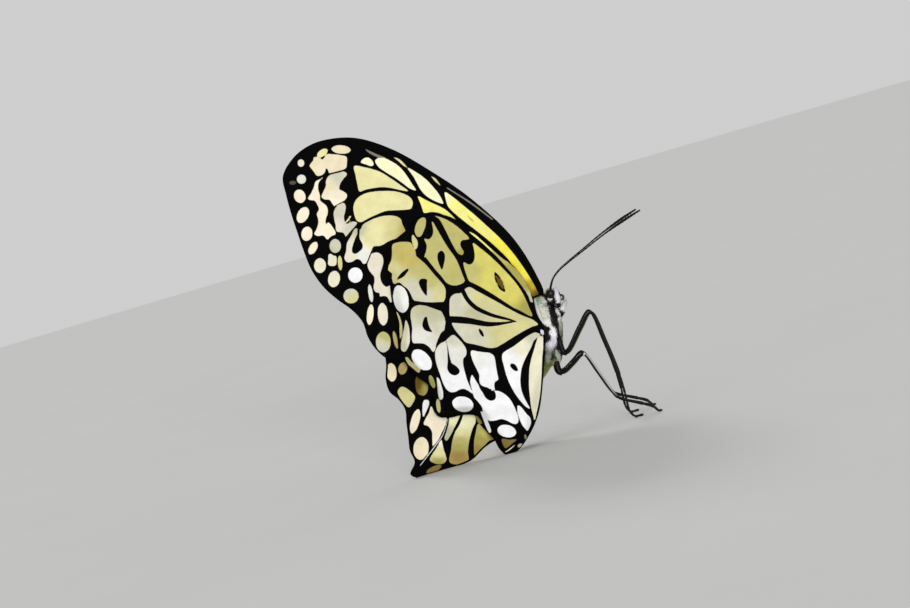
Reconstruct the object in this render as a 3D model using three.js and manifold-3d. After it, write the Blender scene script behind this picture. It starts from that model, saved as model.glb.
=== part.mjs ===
// Paper kite butterfly (Idea leuconoe), life size, at rest with its wings closed over its back.
// Millimetres, +Z up, the floor at Z = 0. It stands on four walking legs and on the hindwings' lower edges.
//
// Every piece is built in the insect's own frame, and one group then pitches the whole insect onto its feet:
//   +x  out of the belly (ventral), so that u = -x is the distance towards the back (dorsal)
//   +y  the insect's left
//   +z  towards the head (cranial), written v where a wing's outline is given
// The origin lies on the body's axis, between the head and the thorax.

import * as THREE from "three";
import { mergeVertices } from "three/addons/utils/BufferGeometryUtils.js";
import Module from "manifold-3d";

const wasm = await Module();
wasm.setup();

// ---------------------------------------------------------------- driving dimensions

const PITCH_DEG = 16.4; // how far the head end leans towards the belly side
const ORIGIN_HEIGHT = 30.07; // of the insect's origin above the floor
const SIDES = { right: -1, left: 1 }; // the sign of y

const WING_THICKNESS = 0.5;
const GAP = 0.27; // left between neighbouring pieces
const LAYER_STEP = 0.85; // from a forewing's middle surface to that of the hindwing lying on it
const FORE_REST = 0.5; // of a closed forewing's middle surface from the plane of symmetry
const ROOT_SPREAD = 2.35; // how much further out a wing leaves the thorax
const ROOT_LENGTH = 6; // over which the wings close up, behind the back

const HEAD = { x: 1.1, z: 2.0, depth: 1.9, halfWidth: 1.5, halfHeight: 1.95 };
const EYE = { x: 0.5, y: 1.4, z: 2.65, depth: 1.0, bulge: 0.78, halfHeight: 1.12 };
const ABDOMEN_RADIUS = 1.75;
const ABDOMEN_RINGS = 8;
const TARSUS_RADIUS = 0.27;
const FLAT_DEPTH = 0.07; // what the floor takes off a foot, which leaves its small flat

// ---------------------------------------------------------------- materials

const finish = (color, roughness) => new THREE.MeshStandardMaterial({ color, roughness, metalness: 0 });
const FINISHES = {
  forewing: finish(0xe2dcab, 0.6),
  hindwing: finish(0xdad9c6, 0.6),
  hair: finish(0x2b292b, 0.9),
  scales: finish(0xd6d3c2, 0.85),
  chitin: finish(0x141214, 0.45),
  eye: finish(0x1c1512, 0.2),
};

// ---------------------------------------------------------------- small helpers

const point = (x, y, z) => new THREE.Vector3(x, y, z);
const clamp01 = (t) => Math.min(1, Math.max(0, t));
const smooth = (from, to, value) => {
  const t = clamp01((value - from) / (to - from));
  return t * t * (3 - 2 * t);
};
const bell = (distance, width) => Math.exp(-((distance / width) ** 2));

// The floor in the insect's frame: dot(FLOOR_NORMAL, p) = -ORIGIN_HEIGHT.
const pitch = THREE.MathUtils.degToRad(PITCH_DEG);
const FLOOR_NORMAL = [-Math.sin(pitch), 0, Math.cos(pitch)];
const floorAt = (x) => (-ORIGIN_HEIGHT + Math.sin(pitch) * x) / Math.cos(pitch);

function toSolid(geometry) {
  const bare = new THREE.BufferGeometry().setAttribute("position", geometry.getAttribute("position"));
  bare.setIndex(geometry.index);
  const merged = mergeVertices(bare, 1e-4);
  return new wasm.Manifold(
    new wasm.Mesh({
      numProp: 3,
      vertProperties: merged.getAttribute("position").array,
      triVerts: new Uint32Array(merged.index.array),
    }),
  );
}

function toGeometry(solid) {
  const mesh = solid.getMesh();
  const geometry = new THREE.BufferGeometry();
  geometry.setAttribute("position", new THREE.BufferAttribute(mesh.vertProperties, 3));
  geometry.setIndex(new THREE.BufferAttribute(mesh.triVerts, 1));
  geometry.computeVertexNormals();
  return geometry;
}

// A closed mesh from a list of vertices and triangles, turned to face outwards.
function closedMesh(vertices, triangles) {
  let volume = 0;
  for (const [a, b, c] of triangles)
    volume += vertices[a].dot(point(0, 0, 0).crossVectors(vertices[b], vertices[c]));
  const index = triangles.flatMap(([a, b, c]) => (volume < 0 ? [a, c, b] : [a, b, c]));
  const geometry = new THREE.BufferGeometry().setFromPoints(vertices);
  geometry.setIndex(index);
  geometry.computeVertexNormals();
  return geometry;
}

// A skin over rings of equal length, closed at both ends by a fan.
function loft(rings) {
  const count = rings[0].length;
  const vertices = rings.flat();
  const triangles = [];
  for (let r = 0; r + 1 < rings.length; r++)
    for (let i = 0; i < count; i++) {
      const j = (i + 1) % count;
      const [a, b, c, d] = [r * count + i, r * count + j, (r + 1) * count + j, (r + 1) * count + i];
      triangles.push([a, b, c], [a, c, d]);
    }
  for (const [r, turned] of [[0, true], [rings.length - 1, false]]) {
    const centre = rings[r].reduce((sum, p) => sum.add(p), point(0, 0, 0)).divideScalar(count);
    vertices.push(centre);
    const hub = vertices.length - 1;
    for (let i = 0; i < count; i++) {
      const j = (i + 1) % count;
      triangles.push(turned ? [hub, r * count + j, r * count + i] : [hub, r * count + i, r * count + j]);
    }
  }
  return closedMesh(vertices, triangles);
}

// A round limb along a curve through stations [x, y, z, radius].
function limb(stations, steps, sides) {
  const curve = new THREE.CatmullRomCurve3(stations.map(([x, y, z]) => point(x, y, z)), false, "centripetal");
  const frames = curve.computeFrenetFrames(steps, false);
  const lengths = [0];
  for (let i = 1; i < stations.length; i++) {
    const from = point(...stations[i - 1].slice(0, 3));
    lengths.push(lengths[i - 1] + from.distanceTo(point(...stations[i].slice(0, 3))));
  }
  const radiusAt = (share) => {
    const along = share * lengths.at(-1);
    const i = Math.min(lengths.length - 2, Math.max(0, lengths.findIndex((l) => l >= along) - 1));
    const t = (along - lengths[i]) / (lengths[i + 1] - lengths[i]);
    return THREE.MathUtils.lerp(stations[i][3], stations[i + 1][3], t);
  };
  const rings = [];
  for (let s = 0; s <= steps; s++) {
    const centre = curve.getPointAt(s / steps);
    const radius = radiusAt(s / steps);
    const ring = [];
    for (let i = 0; i < sides; i++) {
      const angle = (2 * Math.PI * i) / sides;
      const offset = frames.normals[s].clone().multiplyScalar(Math.cos(angle) * radius);
      offset.addScaledVector(frames.binormals[s], Math.sin(angle) * radius);
      ring.push(centre.clone().add(offset));
    }
    rings.push(ring);
  }
  return loft(rings);
}

function ellipsoid(centre, radii, around, rows) {
  const geometry = new THREE.SphereGeometry(1, around, rows);
  geometry.scale(...radii);
  geometry.translate(...centre);
  return geometry;
}

const cutAtFloor = (solid) => solid.trimByPlane(FLOOR_NORMAL, -ORIGIN_HEIGHT);

// ---------------------------------------------------------------- wings

// Each outline is a closed smooth curve through points [u, v] on the wing, seen from the side, and starts at
// the root's front corner: front edge, outer edge and hind edge. The hub is a point that sees all of it.
const WINGS = {
  fore: {
    hub: [5, 1.5],
    rings: [0.07, 0.2, 0.42, 0.7, 1],
    outline: [
      [1.2, 2.7], [2.8, 7.1], [8.2, 15.6], [17.5, 24.3], [26, 30.2], [35.9, 35.8], [43.9, 38.3],
      [50.1, 38.1], [54.6, 36.7], [58.4, 33.8], [60.8, 29.5], [60.1, 25.4], [58.9, 20.9], [57.5, 16.6],
      [56, 12.2], [54.2, 7.9], [51.5, 4.1], [48.4, 1.3], [45, -1.2], [42.6, -4], [41.4, -7.4], [39.2, -10.6],
      [36.2, -12.6], [27, -11.3], [12, -7.6], [1.6, -4.2], [2.4, -1.8], [3.3, 1.7],
    ],
  },
  nearHind: {
    hub: [6, -9],
    rings: [0.25, 0.5, 0.72, 0.87, 0.94, 1],
    outline: [
      [1.3, -4.6], [3.6, 2], [6.9, 7.8], [12.8, 13.2], [18, 17.5], [23.4, 20.6], [28.4, 20.7], [32.4, 17.4],
      [36, 14], [37.1, 10], [36.4, 5], [35.8, 0.5], [34.4, -4], [34.5, -9], [33, -13], [30.2, -16.4],
      [27.4, -18.6], [26.4, -22], [25.6, -25.2], [23, -25.9], [19.3, -25.2], [16.2, -25.6], [14.4, -28.6],
      [12.4, -30.9], [11.2, -33], [9.6, -34.3], [7.3, -33.5], [4.3, -29.4], [2.9, -26.5], [1.9, -23],
      [0.9, -11], [0.8, -7],
    ],
  },
  farHind: {
    hub: [6, -9],
    rings: [0.2, 0.42, 0.62, 0.8, 0.92, 1],
    outline: [
      [1.3, -4.6], [3.6, 1.5], [6.9, 6.8], [12.8, 11.6], [19, 15.2], [25, 16.4], [30.5, 14], [34.6, 8.5],
      [37.2, 1.5], [38.2, -6], [37.3, -14], [37.4, -17.2], [36.5, -20.2], [34.4, -22.1], [32.9, -24.4],
      [32.6, -27.6], [32.2, -30.8], [31.8, -34], [30.7, -36.6], [31.7, -39.4], [29.9, -40.3], [27.5, -39.6],
      [22.7, -38.2], [17.7, -36.2], [14.3, -33], [11.6, -31.4], [8.6, -31], [6, -31.4], [4.3, -29.2],
      [2.2, -22], [1.1, -12],
    ],
  },
};

const HIND_ROOT = [1, -5]; // the hinge of a hindwing, from which its veins spread
const fromHindRoot = (u, v) => Math.hypot(u - HIND_ROOT[0], v - HIND_ROOT[1]);

// The abdomen's middle line, [u, v], which rises between the hindwings.
const ABDOMEN_LINE = [[0.1, -12.6], [2.3, -16], [4.1, -19.6], [5.6, -24.4], [6.7, -29.4]];

function distanceToLine(line, u, v) {
  let best = Infinity;
  for (let i = 0; i + 1 < line.length; i++) {
    const [au, av] = line[i];
    const [du, dv] = [line[i + 1][0] - au, line[i + 1][1] - av];
    const t = clamp01(((u - au) * du + (v - av) * dv) / (du * du + dv * dv));
    best = Math.min(best, Math.hypot(u - au - t * du, v - av - t * dv));
  }
  return best;
}

// How far each wing's middle surface stands from the plane of symmetry at [u, v]. All wings close up behind
// the thorax, from the spread of their roots.
const nearRoot = (u) => bell(Math.max(u - 1, 0), ROOT_LENGTH);

// A closed forewing's outer part curves away from its fellow.
const FORE_TIP = { rise: 1.0, from: 38, to: 68 };
const tipRise = (u, v) => FORE_TIP.rise * smooth(FORE_TIP.from, FORE_TIP.to, Math.hypot(u, v));
const foreRise = (u, v) => FORE_REST + ROOT_SPREAD * nearRoot(u) + tipRise(u, v);

// Below its hinge a hindwing lies closer to the body, and then it bulges over the abdomen.
const TUCK = { depth: 0.75, fromV: -5, toV: -9 };
const BULGE = { height: 1.1, width: 2.6, fromV: -11, toV: -15 };
const hindRise = (u, v) =>
  FORE_REST + LAYER_STEP + nearRoot(u) * (ROOT_SPREAD - TUCK.depth * smooth(TUCK.fromV, TUCK.toV, v))
  + BULGE.height * bell(distanceToLine(ABDOMEN_LINE, u, v), BULGE.width) * smooth(BULGE.fromV, BULGE.toV, v);

// The near hindwing is cupped like a shell: it bulges out, and its edge curls back towards the other wing.
const CUP = { depth: 5.2, u: 21, v: -11, width: 19, curl: 2.6, from: 3, to: 16 };
const cupRise = (u, v, edge) =>
  CUP.depth * bell(Math.hypot(u - CUP.u, v - CUP.v), CUP.width)
  * smooth(CUP.from, CUP.to, fromHindRoot(u, v)) * smooth(0, CUP.curl, edge);

// Its inner corner flares outwards, as it would beside the abdomen, and the insect rests on it.
const CORNER = { flare: 1.9, u: 8.5, v: -34, width: 9 };
const cornerRise = (u, v) => CORNER.flare * bell(Math.hypot(u - CORNER.u, v - CORNER.v), CORNER.width);

// The far hindwing swings out towards its tip, with shallow pleats that spread from its root.
const SPLAY = { rise: 1.8, from: 16, to: 48, direction: [0.65, -0.76] };
const PLEATS = { height: 0.4, from: 22, to: 42, turns: 26 };
const splayRise = (u, v) => {
  const [du, dv] = [u - HIND_ROOT[0], v - HIND_ROOT[1]];
  const along = du * SPLAY.direction[0] + dv * SPLAY.direction[1];
  const wave = Math.cos(PLEATS.turns * Math.atan2(dv, du));
  const pleat = PLEATS.height * wave * smooth(PLEATS.from, PLEATS.to, Math.hypot(du, dv));
  return SPLAY.rise * smooth(SPLAY.from, SPLAY.to, along) + pleat;
};

const RISES = {
  fore: (u, v) => foreRise(u, v),
  nearHind: (u, v, edge) => hindRise(u, v) + cupRise(u, v, edge) + cornerRise(u, v),
  farHind: (u, v) => hindRise(u, v) + splayRise(u, v),
};

// A sheet of even thickness over the outline: rings of points that shrink towards the hub.
function wing(kind, side) {
  const { hub, rings, outline } = WINGS[kind];
  const curve = new THREE.CatmullRomCurve3(outline.map(([u, v]) => point(u, v, 0)), true, "centripetal");
  const rim = curve.getPoints(2 * outline.length).slice(0, -1).map((p) => [p.x, p.y]);
  const closedRim = [...rim, rim[0]];
  const rise = (u, v) => RISES[kind](u, v, distanceToLine(closedRim, u, v));
  const place = (u, v, face) => {
    const step = 0.05;
    const slopeU = (rise(u + step, v) - rise(u - step, v)) / (2 * step);
    const slopeV = (rise(u, v + step) - rise(u, v - step)) / (2 * step);
    const normal = point(-slopeU, -slopeV, 1).normalize().multiplyScalar((face * WING_THICKNESS) / 2);
    return point(-(u + normal.x), side * (rise(u, v) + normal.z), v + normal.y);
  };
  const count = rim.length;
  const towardsRim = (share) => rim.map((edge) => hub.map((from, k) => from + share * (edge[k] - from)));
  const net = [hub, ...rings.flatMap(towardsRim)];
  const faces = [1, -1].map((face) => net.map(([u, v]) => place(u, v, face)));
  const faceSize = faces[0].length;
  const triangles = [];
  const at = (face, ring, i) => face * faceSize + 1 + ring * count + (i % count);
  const add = (face, a, b, c) => triangles.push(face ? [a, c, b] : [a, b, c]);
  for (const face of [0, 1])
    for (let i = 0; i < count; i++) {
      add(face, face * faceSize, at(face, 0, i), at(face, 0, i + 1));
      for (let r = 0; r + 1 < rings.length; r++) {
        add(face, at(face, r, i), at(face, r + 1, i), at(face, r + 1, i + 1));
        add(face, at(face, r, i), at(face, r + 1, i + 1), at(face, r, i + 1));
      }
    }
  const last = rings.length - 1;
  for (let i = 0; i < count; i++) {
    triangles.push([at(0, last, i), at(1, last, i), at(1, last, i + 1)]);
    triangles.push([at(0, last, i), at(1, last, i + 1), at(0, last, i + 1)]);
  }
  return cutAtFloor(toSolid(closedMesh(faces.flat(), triangles)));
}

// ---------------------------------------------------------------- body

// The thorax seen from the side, from front to back: z, its back's x, its breast's x, half its width. Its
// back humps up behind the head. It has a knob on each side, where the wings hinge.
const THORAX = [
  [2.1, -2.9, -1.9, 0.7],
  [1.2, -3.6, -1.1, 1.5],
  [0.2, -3.9, -0.6, 1.95],
  [-0.35, -3.95, 1.9, 2.1],
  [-1.6, -3.9, 3.0, 2.25],
  [-4, -3.75, 3.35, 2.3],
  [-7, -3.4, 3.4, 2.3],
  [-10, -2.8, 3.35, 2.2],
  [-12.3, -2.0, 3.0, 1.85],
  [-13.6, -1.1, 2.3, 1.1],
];
const KNOB = { x: -0.5, y: 2.2, z: -5.4, radii: [0.9, 0.75, 0.7] };

function thorax(grow = 0) {
  const sides = 16;
  const rings = THORAX.map(([z, back, breast, halfWidth], row) => {
    const lift = row === 0 ? grow : row === THORAX.length - 1 ? -grow : 0;
    const ring = [];
    for (let i = 0; i < sides; i++) {
      const angle = (2 * Math.PI * i) / sides;
      const x = (back + breast) / 2 + ((breast - back) / 2 + grow) * Math.cos(angle);
      ring.push(point(x, (halfWidth + grow) * Math.sin(angle), z + lift));
    }
    return ring;
  });
  let solid = toSolid(loft(rings));
  for (const side of Object.values(SIDES)) {
    const radii = KNOB.radii.map((radius) => radius + grow);
    solid = solid.add(toSolid(ellipsoid([KNOB.x, side * KNOB.y, KNOB.z], radii, 8, 5)));
  }
  return solid;
}

// The abdomen is a tapering round body with a shallow waist between its rings.
function abdomen() {
  const curve = new THREE.CatmullRomCurve3(ABDOMEN_LINE.map(([u, v]) => point(-u, 0, v)));
  const rows = 2 * ABDOMEN_RINGS;
  const sides = 12;
  const rings = [];
  for (let r = 0; r <= rows; r++) {
    const share = r / rows;
    const centre = curve.getPointAt(share);
    const along = curve.getTangentAt(share);
    const across = point(along.z, 0, -along.x);
    const waist = r % 2 ? 1 : 0.955;
    const radius = ABDOMEN_RADIUS * waist * (0.8 + 0.2 * smooth(0, 0.3, share)) * (1 - 0.78 * share ** 3.2);
    const ring = [];
    for (let i = 0; i < sides; i++) {
      const angle = (2 * Math.PI * i) / sides;
      const offset = across.clone().multiplyScalar(radius * Math.cos(angle));
      offset.y = radius * 0.95 * Math.sin(angle);
      ring.push(centre.clone().add(offset));
    }
    rings.push(ring);
  }
  return toSolid(loft(rings));
}

const eye = (side, grow = 0) =>
  toSolid(
    ellipsoid(
      [EYE.x, side * EYE.y, EYE.z],
      [EYE.depth + grow, EYE.bulge + grow, EYE.halfHeight + grow],
      grow ? 11 : 13,
      grow ? 7 : 9,
    ),
  );

// The palps stand up in front of the face, one on each side of the coiled tongue.
const palp = (side, grow = 0) =>
  toSolid(
    limb(
      [
        [2.6, side * 1.0, -0.05, 0.3 + grow],
        [2.4, side * 1.15, 0.8, 0.6 + grow],
        [2.05, side * 1.2, 2.0, 0.7 + grow],
        [1.8, side * 1.1, 3.1, 0.6 + grow],
        [1.6, side * 1.0, 4.0, 0.3 + grow],
      ],
      8,
      8,
    ),
  );

const TONGUE = { x: 3.05, z: 1.7, outer: 0.95, inner: 0.2, turns: 1.15, radius: 0.24 };

function tongue() {
  const { x, z, outer, inner, turns, radius } = TONGUE;
  const stations = [];
  const steps = 14;
  for (let i = 0; i <= steps; i++) {
    const share = i / steps;
    const angle = -Math.PI / 2 - 2 * Math.PI * turns * share;
    const reach = THREE.MathUtils.lerp(outer - radius, inner, share);
    stations.push([x + reach * Math.cos(angle), 0, z + reach * Math.sin(angle), radius]);
  }
  return toSolid(limb(stations, 17, 6));
}

function tongueSlot() {
  const reach = TONGUE.outer + GAP;
  const slot = new THREE.CylinderGeometry(reach, reach, 2 * (TONGUE.radius + GAP), 16);
  slot.translate(TONGUE.x, 0, TONGUE.z);
  return toSolid(slot);
}

function head() {
  let solid = toSolid(
    ellipsoid([HEAD.x, 0, HEAD.z], [HEAD.depth, HEAD.halfWidth, HEAD.halfHeight], 16, 10),
  ).subtract(tongueSlot());
  for (const side of Object.values(SIDES)) solid = solid.subtract(eye(side, GAP)).subtract(palp(side, GAP));
  return solid;
}

// ---------------------------------------------------------------- limbs

const antenna = (side) =>
  toSolid(
    limb(
      [
        [0.62, side * 0.5, 4.25, 0.27],
        [1.2, side * 0.8, 6.2, 0.25],
        [2.6, side * 1.25, 8.1, 0.25],
        [4.6, side * 1.85, 9.9, 0.25],
        [7.8, side * 2.7, 12.5, 0.25],
        [12.6, side * 4.0, 16.4, 0.26],
        [17.2, side * 5.1, 19.7, 0.36],
        [20.6, side * 5.9, 21.9, 0.3],
      ],
      16,
      6,
    ),
  );

// The forelegs are short brushes, folded up against the breast.
const foreleg = (side) =>
  toSolid(
    limb(
      [
        [2.9, side * 1.1, -2.6, 0.35],
        [3.25, side * 1.15, -1.5, 0.52],
        [3.6, side * 1.1, -0.5, 0.46],
        [3.9, side * 1.0, 0.4, 0.34],
        [4.1, side * 0.95, 1.1, 0.2],
      ],
      7,
      7,
    ),
  );

// A foot lies on the floor at x, and its underside is flattened by it.
const footStation = (x, y, radius) => [x, y, floorAt(x) + (radius - FLAT_DEPTH) / Math.cos(pitch), radius];

const LEGS = {
  mid: (side) => [
    [2.4, side * 0.9, -7.6, 0.6],
    [3.7, side * 1.3, -10.9, 0.6],
    [4.6, side * 1.6, -10.6, 0.56],
    [7.4, side * 2.6, -5.2, 0.5],
    [9.4, side * 3.3, -1.6, 0.42],
    [10.2, side * 3.6, -1.9, 0.38],
    [13.0, side * 4.3, -8.0, 0.38],
    [15.6, side * 4.9, -14.2, 0.36],
    [17.3, side * 5.3, -19.6, TARSUS_RADIUS],
    [18.6, side * 5.6, -24.2, TARSUS_RADIUS],
    footStation(19.9, side * 5.8, TARSUS_RADIUS),
    footStation(21.5, side * 6.0, TARSUS_RADIUS),
  ],
  hind: (side) => [
    [1.7, side * 0.9, -12.6, 0.7],
    [2.6, side * 1.3, -15.3, 0.75],
    [3.7, side * 1.6, -15.2, 0.62],
    [5.8, side * 2.6, -13.2, 0.5],
    [7.8, side * 3.6, -11.1, 0.42],
    [8.6, side * 3.9, -11.4, 0.4],
    [12.0, side * 5.1, -16.0, 0.42],
    [15.4, side * 6.2, -20.5, 0.38],
    [16.6, side * 6.5, -21.1, 0.36],
    [20.8, side * 7.1, -22.0, 0.38],
    [23.6, side * 7.5, -22.7, 0.36],
    footStation(25.0, side * 7.7, TARSUS_RADIUS),
    footStation(25.6, side * 7.8, TARSUS_RADIUS),
  ],
};

const leg = (pair, side) => cutAtFloor(toSolid(limb(LEGS[pair](side), 22, 6)));

// ---------------------------------------------------------------- the insect

const insect = new THREE.Group();

function add(name, solid, material) {
  const mesh = new THREE.Mesh(toGeometry(solid), FINISHES[material]);
  mesh.name = name;
  insect.add(mesh);
}

const grownThorax = thorax(GAP);

add("head", head(), "hair");
add("thorax", thorax(), "hair");
add("abdomen", abdomen().subtract(grownThorax), "scales");
add("proboscis", tongue(), "chitin");

const hindwingKind = { right: "nearHind", left: "farHind" };

for (const [sideName, side] of Object.entries(SIDES)) {
  add(`eye_${sideName}`, eye(side), "eye");
  add(`palp_${sideName}`, palp(side).subtract(eye(side, GAP)), "scales");
  add(`antenna_${sideName}`, antenna(side), "chitin");
  add(`wing_fore_${sideName}`, wing("fore", side), "forewing");
  add(`wing_hind_${sideName}`, wing(hindwingKind[sideName], side), "hindwing");
  add(`leg_fore_${sideName}`, foreleg(side).subtract(grownThorax), "scales");
  for (const pair of Object.keys(LEGS))
    add(`leg_${pair}_${sideName}`, leg(pair, side).subtract(grownThorax), "chitin");
}

insect.rotation.y = pitch;
insect.position.z = ORIGIN_HEIGHT;
insect.updateMatrixWorld(true);

// The part's origin is on the floor, under the middle of its box.
const box = new THREE.Box3().setFromObject(insect, true);
const centre = box.getCenter(point(0, 0, 0));
insect.position.x = -centre.x;
insect.position.y = -centre.y;

const butterfly = new THREE.Group();
butterfly.add(insect);

export default butterfly;
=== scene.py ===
"""Paper kite butterfly (Idea leuconoe), life size, at rest with its wings closed over its back.

Lengths are in millimetres in the insect's own frame, and become metres on the floor at the end:
    x out of the belly, y to the insect's left, z towards the head. Wings are drawn in (u, v) = (-x, z).
"""

import math

import bpy
import numpy as np
from mathutils import Matrix, Vector
from mathutils.geometry import delaunay_2d_cdt


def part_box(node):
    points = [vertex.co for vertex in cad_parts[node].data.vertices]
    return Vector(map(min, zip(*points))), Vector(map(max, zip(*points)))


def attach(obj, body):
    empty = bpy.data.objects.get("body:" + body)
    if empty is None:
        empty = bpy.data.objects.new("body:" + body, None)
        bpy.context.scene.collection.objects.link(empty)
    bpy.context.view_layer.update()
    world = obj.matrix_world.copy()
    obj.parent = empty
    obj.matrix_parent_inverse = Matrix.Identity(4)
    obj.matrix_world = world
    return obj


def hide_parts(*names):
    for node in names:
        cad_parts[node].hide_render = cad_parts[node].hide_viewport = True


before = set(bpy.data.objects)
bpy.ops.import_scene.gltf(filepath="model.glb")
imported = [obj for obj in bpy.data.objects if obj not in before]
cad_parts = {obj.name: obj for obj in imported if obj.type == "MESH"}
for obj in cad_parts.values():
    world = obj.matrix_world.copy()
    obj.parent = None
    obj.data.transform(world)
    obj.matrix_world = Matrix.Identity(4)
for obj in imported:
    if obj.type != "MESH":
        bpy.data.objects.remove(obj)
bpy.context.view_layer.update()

# ---------------------------------------------------------------- the insect's frame

MM = 0.001
PITCH = math.radians(16.4)  # how far the head end leans towards the belly side
EYE_CENTRE = np.array([0.5, -1.4, 2.65])  # the right eye's
SIDES = {"right": -1, "left": 1}  # the sign of y

CAMERA_ELEVATION = math.radians(3)
CAMERA_DISTANCE = 600.0
AIM = (-21.4, 0, 0.23)  # the point in the middle of the picture

TURN = np.array(
    [[math.cos(PITCH), 0, math.sin(PITCH)], [0, 1, 0], [-math.sin(PITCH), 0, math.cos(PITCH)]]
)
eye_low, eye_high = (np.array(corner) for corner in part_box("eye_right"))
ORIGIN = (eye_low + eye_high) / 2 / MM - TURN @ EYE_CENTRE


def to_world(points):
    """Points of the insect's frame, as metres in the part's frame."""
    return (np.asarray(points, float) @ TURN.T + ORIGIN) * MM


# ---------------------------------------------------------------- small helpers


def smooth(start, end, value):
    """From 0 at the start to 1 at the end, level at both."""
    t = np.clip((np.asarray(value, float) - start) / (end - start), 0, 1)
    return t * t * (3 - 2 * t)


def bell(distance, width):
    """1 at no distance, falling to nothing over a few widths."""
    return np.exp(-((np.asarray(distance, float) / width) ** 2))


def linear(red, green, blue):
    """A colour given as 0 to 255 on screen, as the linear light that shaders use."""
    c = np.array([red, green, blue]) / 255
    return np.where(c <= 0.04045, c / 12.92, ((c + 0.055) / 1.055) ** 2.4)


def curve_through(points, per, closed=False):
    """A centripetal Catmull-Rom curve through the points, with `per` samples to a stretch."""
    p = np.asarray(points, float)
    if closed:
        p0, p1, p2, p3 = (np.roll(p, shift, 0) for shift in (1, 0, -1, -2))
    else:
        long = np.vstack([2 * p[0] - p[1], p, 2 * p[-1] - p[-2]])
        p0, p1, p2, p3 = long[:-3], long[1:-2], long[2:-1], long[3:]

    def span(a, b):
        return np.maximum(np.linalg.norm((b - a)[:, :3], axis=1) ** 0.5, 1e-4)[:, None]

    d1, d2, d3 = span(p0, p1), span(p1, p2), span(p2, p3)
    m1 = ((p1 - p0) / d1 - (p2 - p0) / (d1 + d2) + (p2 - p1) / d2) * d2
    m2 = ((p2 - p1) / d2 - (p3 - p1) / (d2 + d3) + (p3 - p2) / d3) * d2
    t = (np.arange(per) / per)[None, :, None]
    a, b, c, d = p1, m1, -3 * p1 + 3 * p2 - 2 * m1 - m2, 2 * p1 - 2 * p2 + m1 + m2
    made = a[:, None] + b[:, None] * t + c[:, None] * t**2 + d[:, None] * t**3
    made = made.reshape(-1, p.shape[1])
    return made if closed else np.vstack([made, p[-1]])


REACH = 3.0  # distances are worked out no further than this
RUN = 16  # stretches of a line that are looked at together
RIM_STEPS = 12  # samples to a stretch of a wing's outline
LOOP_STEPS = 6  # of a patch's or a spot's outline
VEIN_STEPS = 5
STROKE_STEPS = 4
THIN_STEPS = 30  # of a thin pale line


def blocks(points, line, reach):
    """Short runs of a line, each with the points that may lie within reach of it."""
    for first in range(0, len(line) - 1, RUN):
        run = line[first : first + RUN + 1]
        low, high = run[:, :2].min(0) - reach, run[:, :2].max(0) + reach
        near = np.flatnonzero(((points > low) & (points < high)).all(1))
        if len(near):
            yield near, run


def to_run(points, run):
    """For each point and each stretch of the run: the distance, and the share along the stretch."""
    along = np.diff(run[:, :2], axis=0)
    rel = points[:, None] - run[:-1, :2]
    share = np.clip((rel * along).sum(2) / np.maximum((along**2).sum(1), 1e-12), 0, 1)
    return np.linalg.norm(rel - share[..., None] * along, axis=2), share


def line_distance(points, line, reach=REACH):
    """Distance of each point to a line, or the reach where it is farther off."""
    found = np.full(len(points), float(reach))
    for near, run in blocks(points, np.asarray(line, float), reach):
        found[near] = np.minimum(found[near], to_run(points[near], run)[0].min(1))
    return found


def inside_distance(points, loop):
    """Distance to a closed line, above zero inside it."""
    closed = np.vstack([loop, loop[:1]])
    u, v = points.T
    inside = np.zeros(len(points), bool)
    for (u0, v0), (u1, v1) in zip(closed[:-1], closed[1:]):
        if v0 != v1:
            inside ^= ((v0 > v) != (v1 > v)) & (u < u0 + (v - v0) * (u1 - u0) / (v1 - v0))
    return np.where(inside, 1, -1) * line_distance(points, closed)


def stroke_depth(points, stroke):
    """How deep each point lies in a stroke through [u, v, half width], below zero outside it."""
    found = np.full(len(points), -REACH)
    for near, run in blocks(points, curve_through(stroke, STROKE_STEPS), REACH):
        distance, share = to_run(points[near], run)
        width = run[:-1, 2] + share * np.diff(run[:, 2])
        found[near] = np.maximum(found[near], (width - distance).max(1))
    return found


def vertex_normals(vertices, faces):
    a, b, c = (vertices[faces[:, k]] for k in range(3))
    cross = np.cross(b - a, c - a)
    total = np.stack(
        [np.bincount(faces.ravel(), np.repeat(cross[:, k], 3), len(vertices)) for k in range(3)], 1
    )
    return total / np.maximum(np.linalg.norm(total, axis=1), 1e-12)[:, None]


def mesh_of(name, vertices, triangles):
    mesh = bpy.data.meshes.new(name)
    triangles = np.asarray(triangles, np.int32)
    mesh.vertices.add(len(vertices))
    mesh.vertices.foreach_set("co", np.asarray(vertices, np.float32).ravel())
    mesh.loops.add(triangles.size)
    mesh.loops.foreach_set("vertex_index", triangles.ravel())
    mesh.polygons.add(len(triangles))
    mesh.polygons.foreach_set("loop_start", np.arange(0, triangles.size, 3, dtype=np.int32))
    mesh.update(calc_edges=True)
    made = bpy.data.objects.new(name, mesh)
    bpy.context.scene.collection.objects.link(made)
    return made


def piece(name, vertices, triangles, material, replaced=(), uv=None):
    """A piece of the insect, from points of its own frame. `uv` has one place for each vertex."""
    world = to_world(vertices)
    world[:, 2] = np.maximum(world[:, 2], 0)  # what stands on the floor is pressed flat against it
    made = mesh_of(name, world, triangles)
    made.data.shade_smooth()
    made.data.materials.append(material)
    if uv is not None:
        layer = made.data.uv_layers.new(name="OFBake")
        corners = np.asarray(uv, np.float32)[np.asarray(triangles).ravel()]
        layer.data.foreach_set("uv", corners.ravel())
    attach(made, "root")
    if replaced:
        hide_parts(*replaced)
    return made


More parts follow.
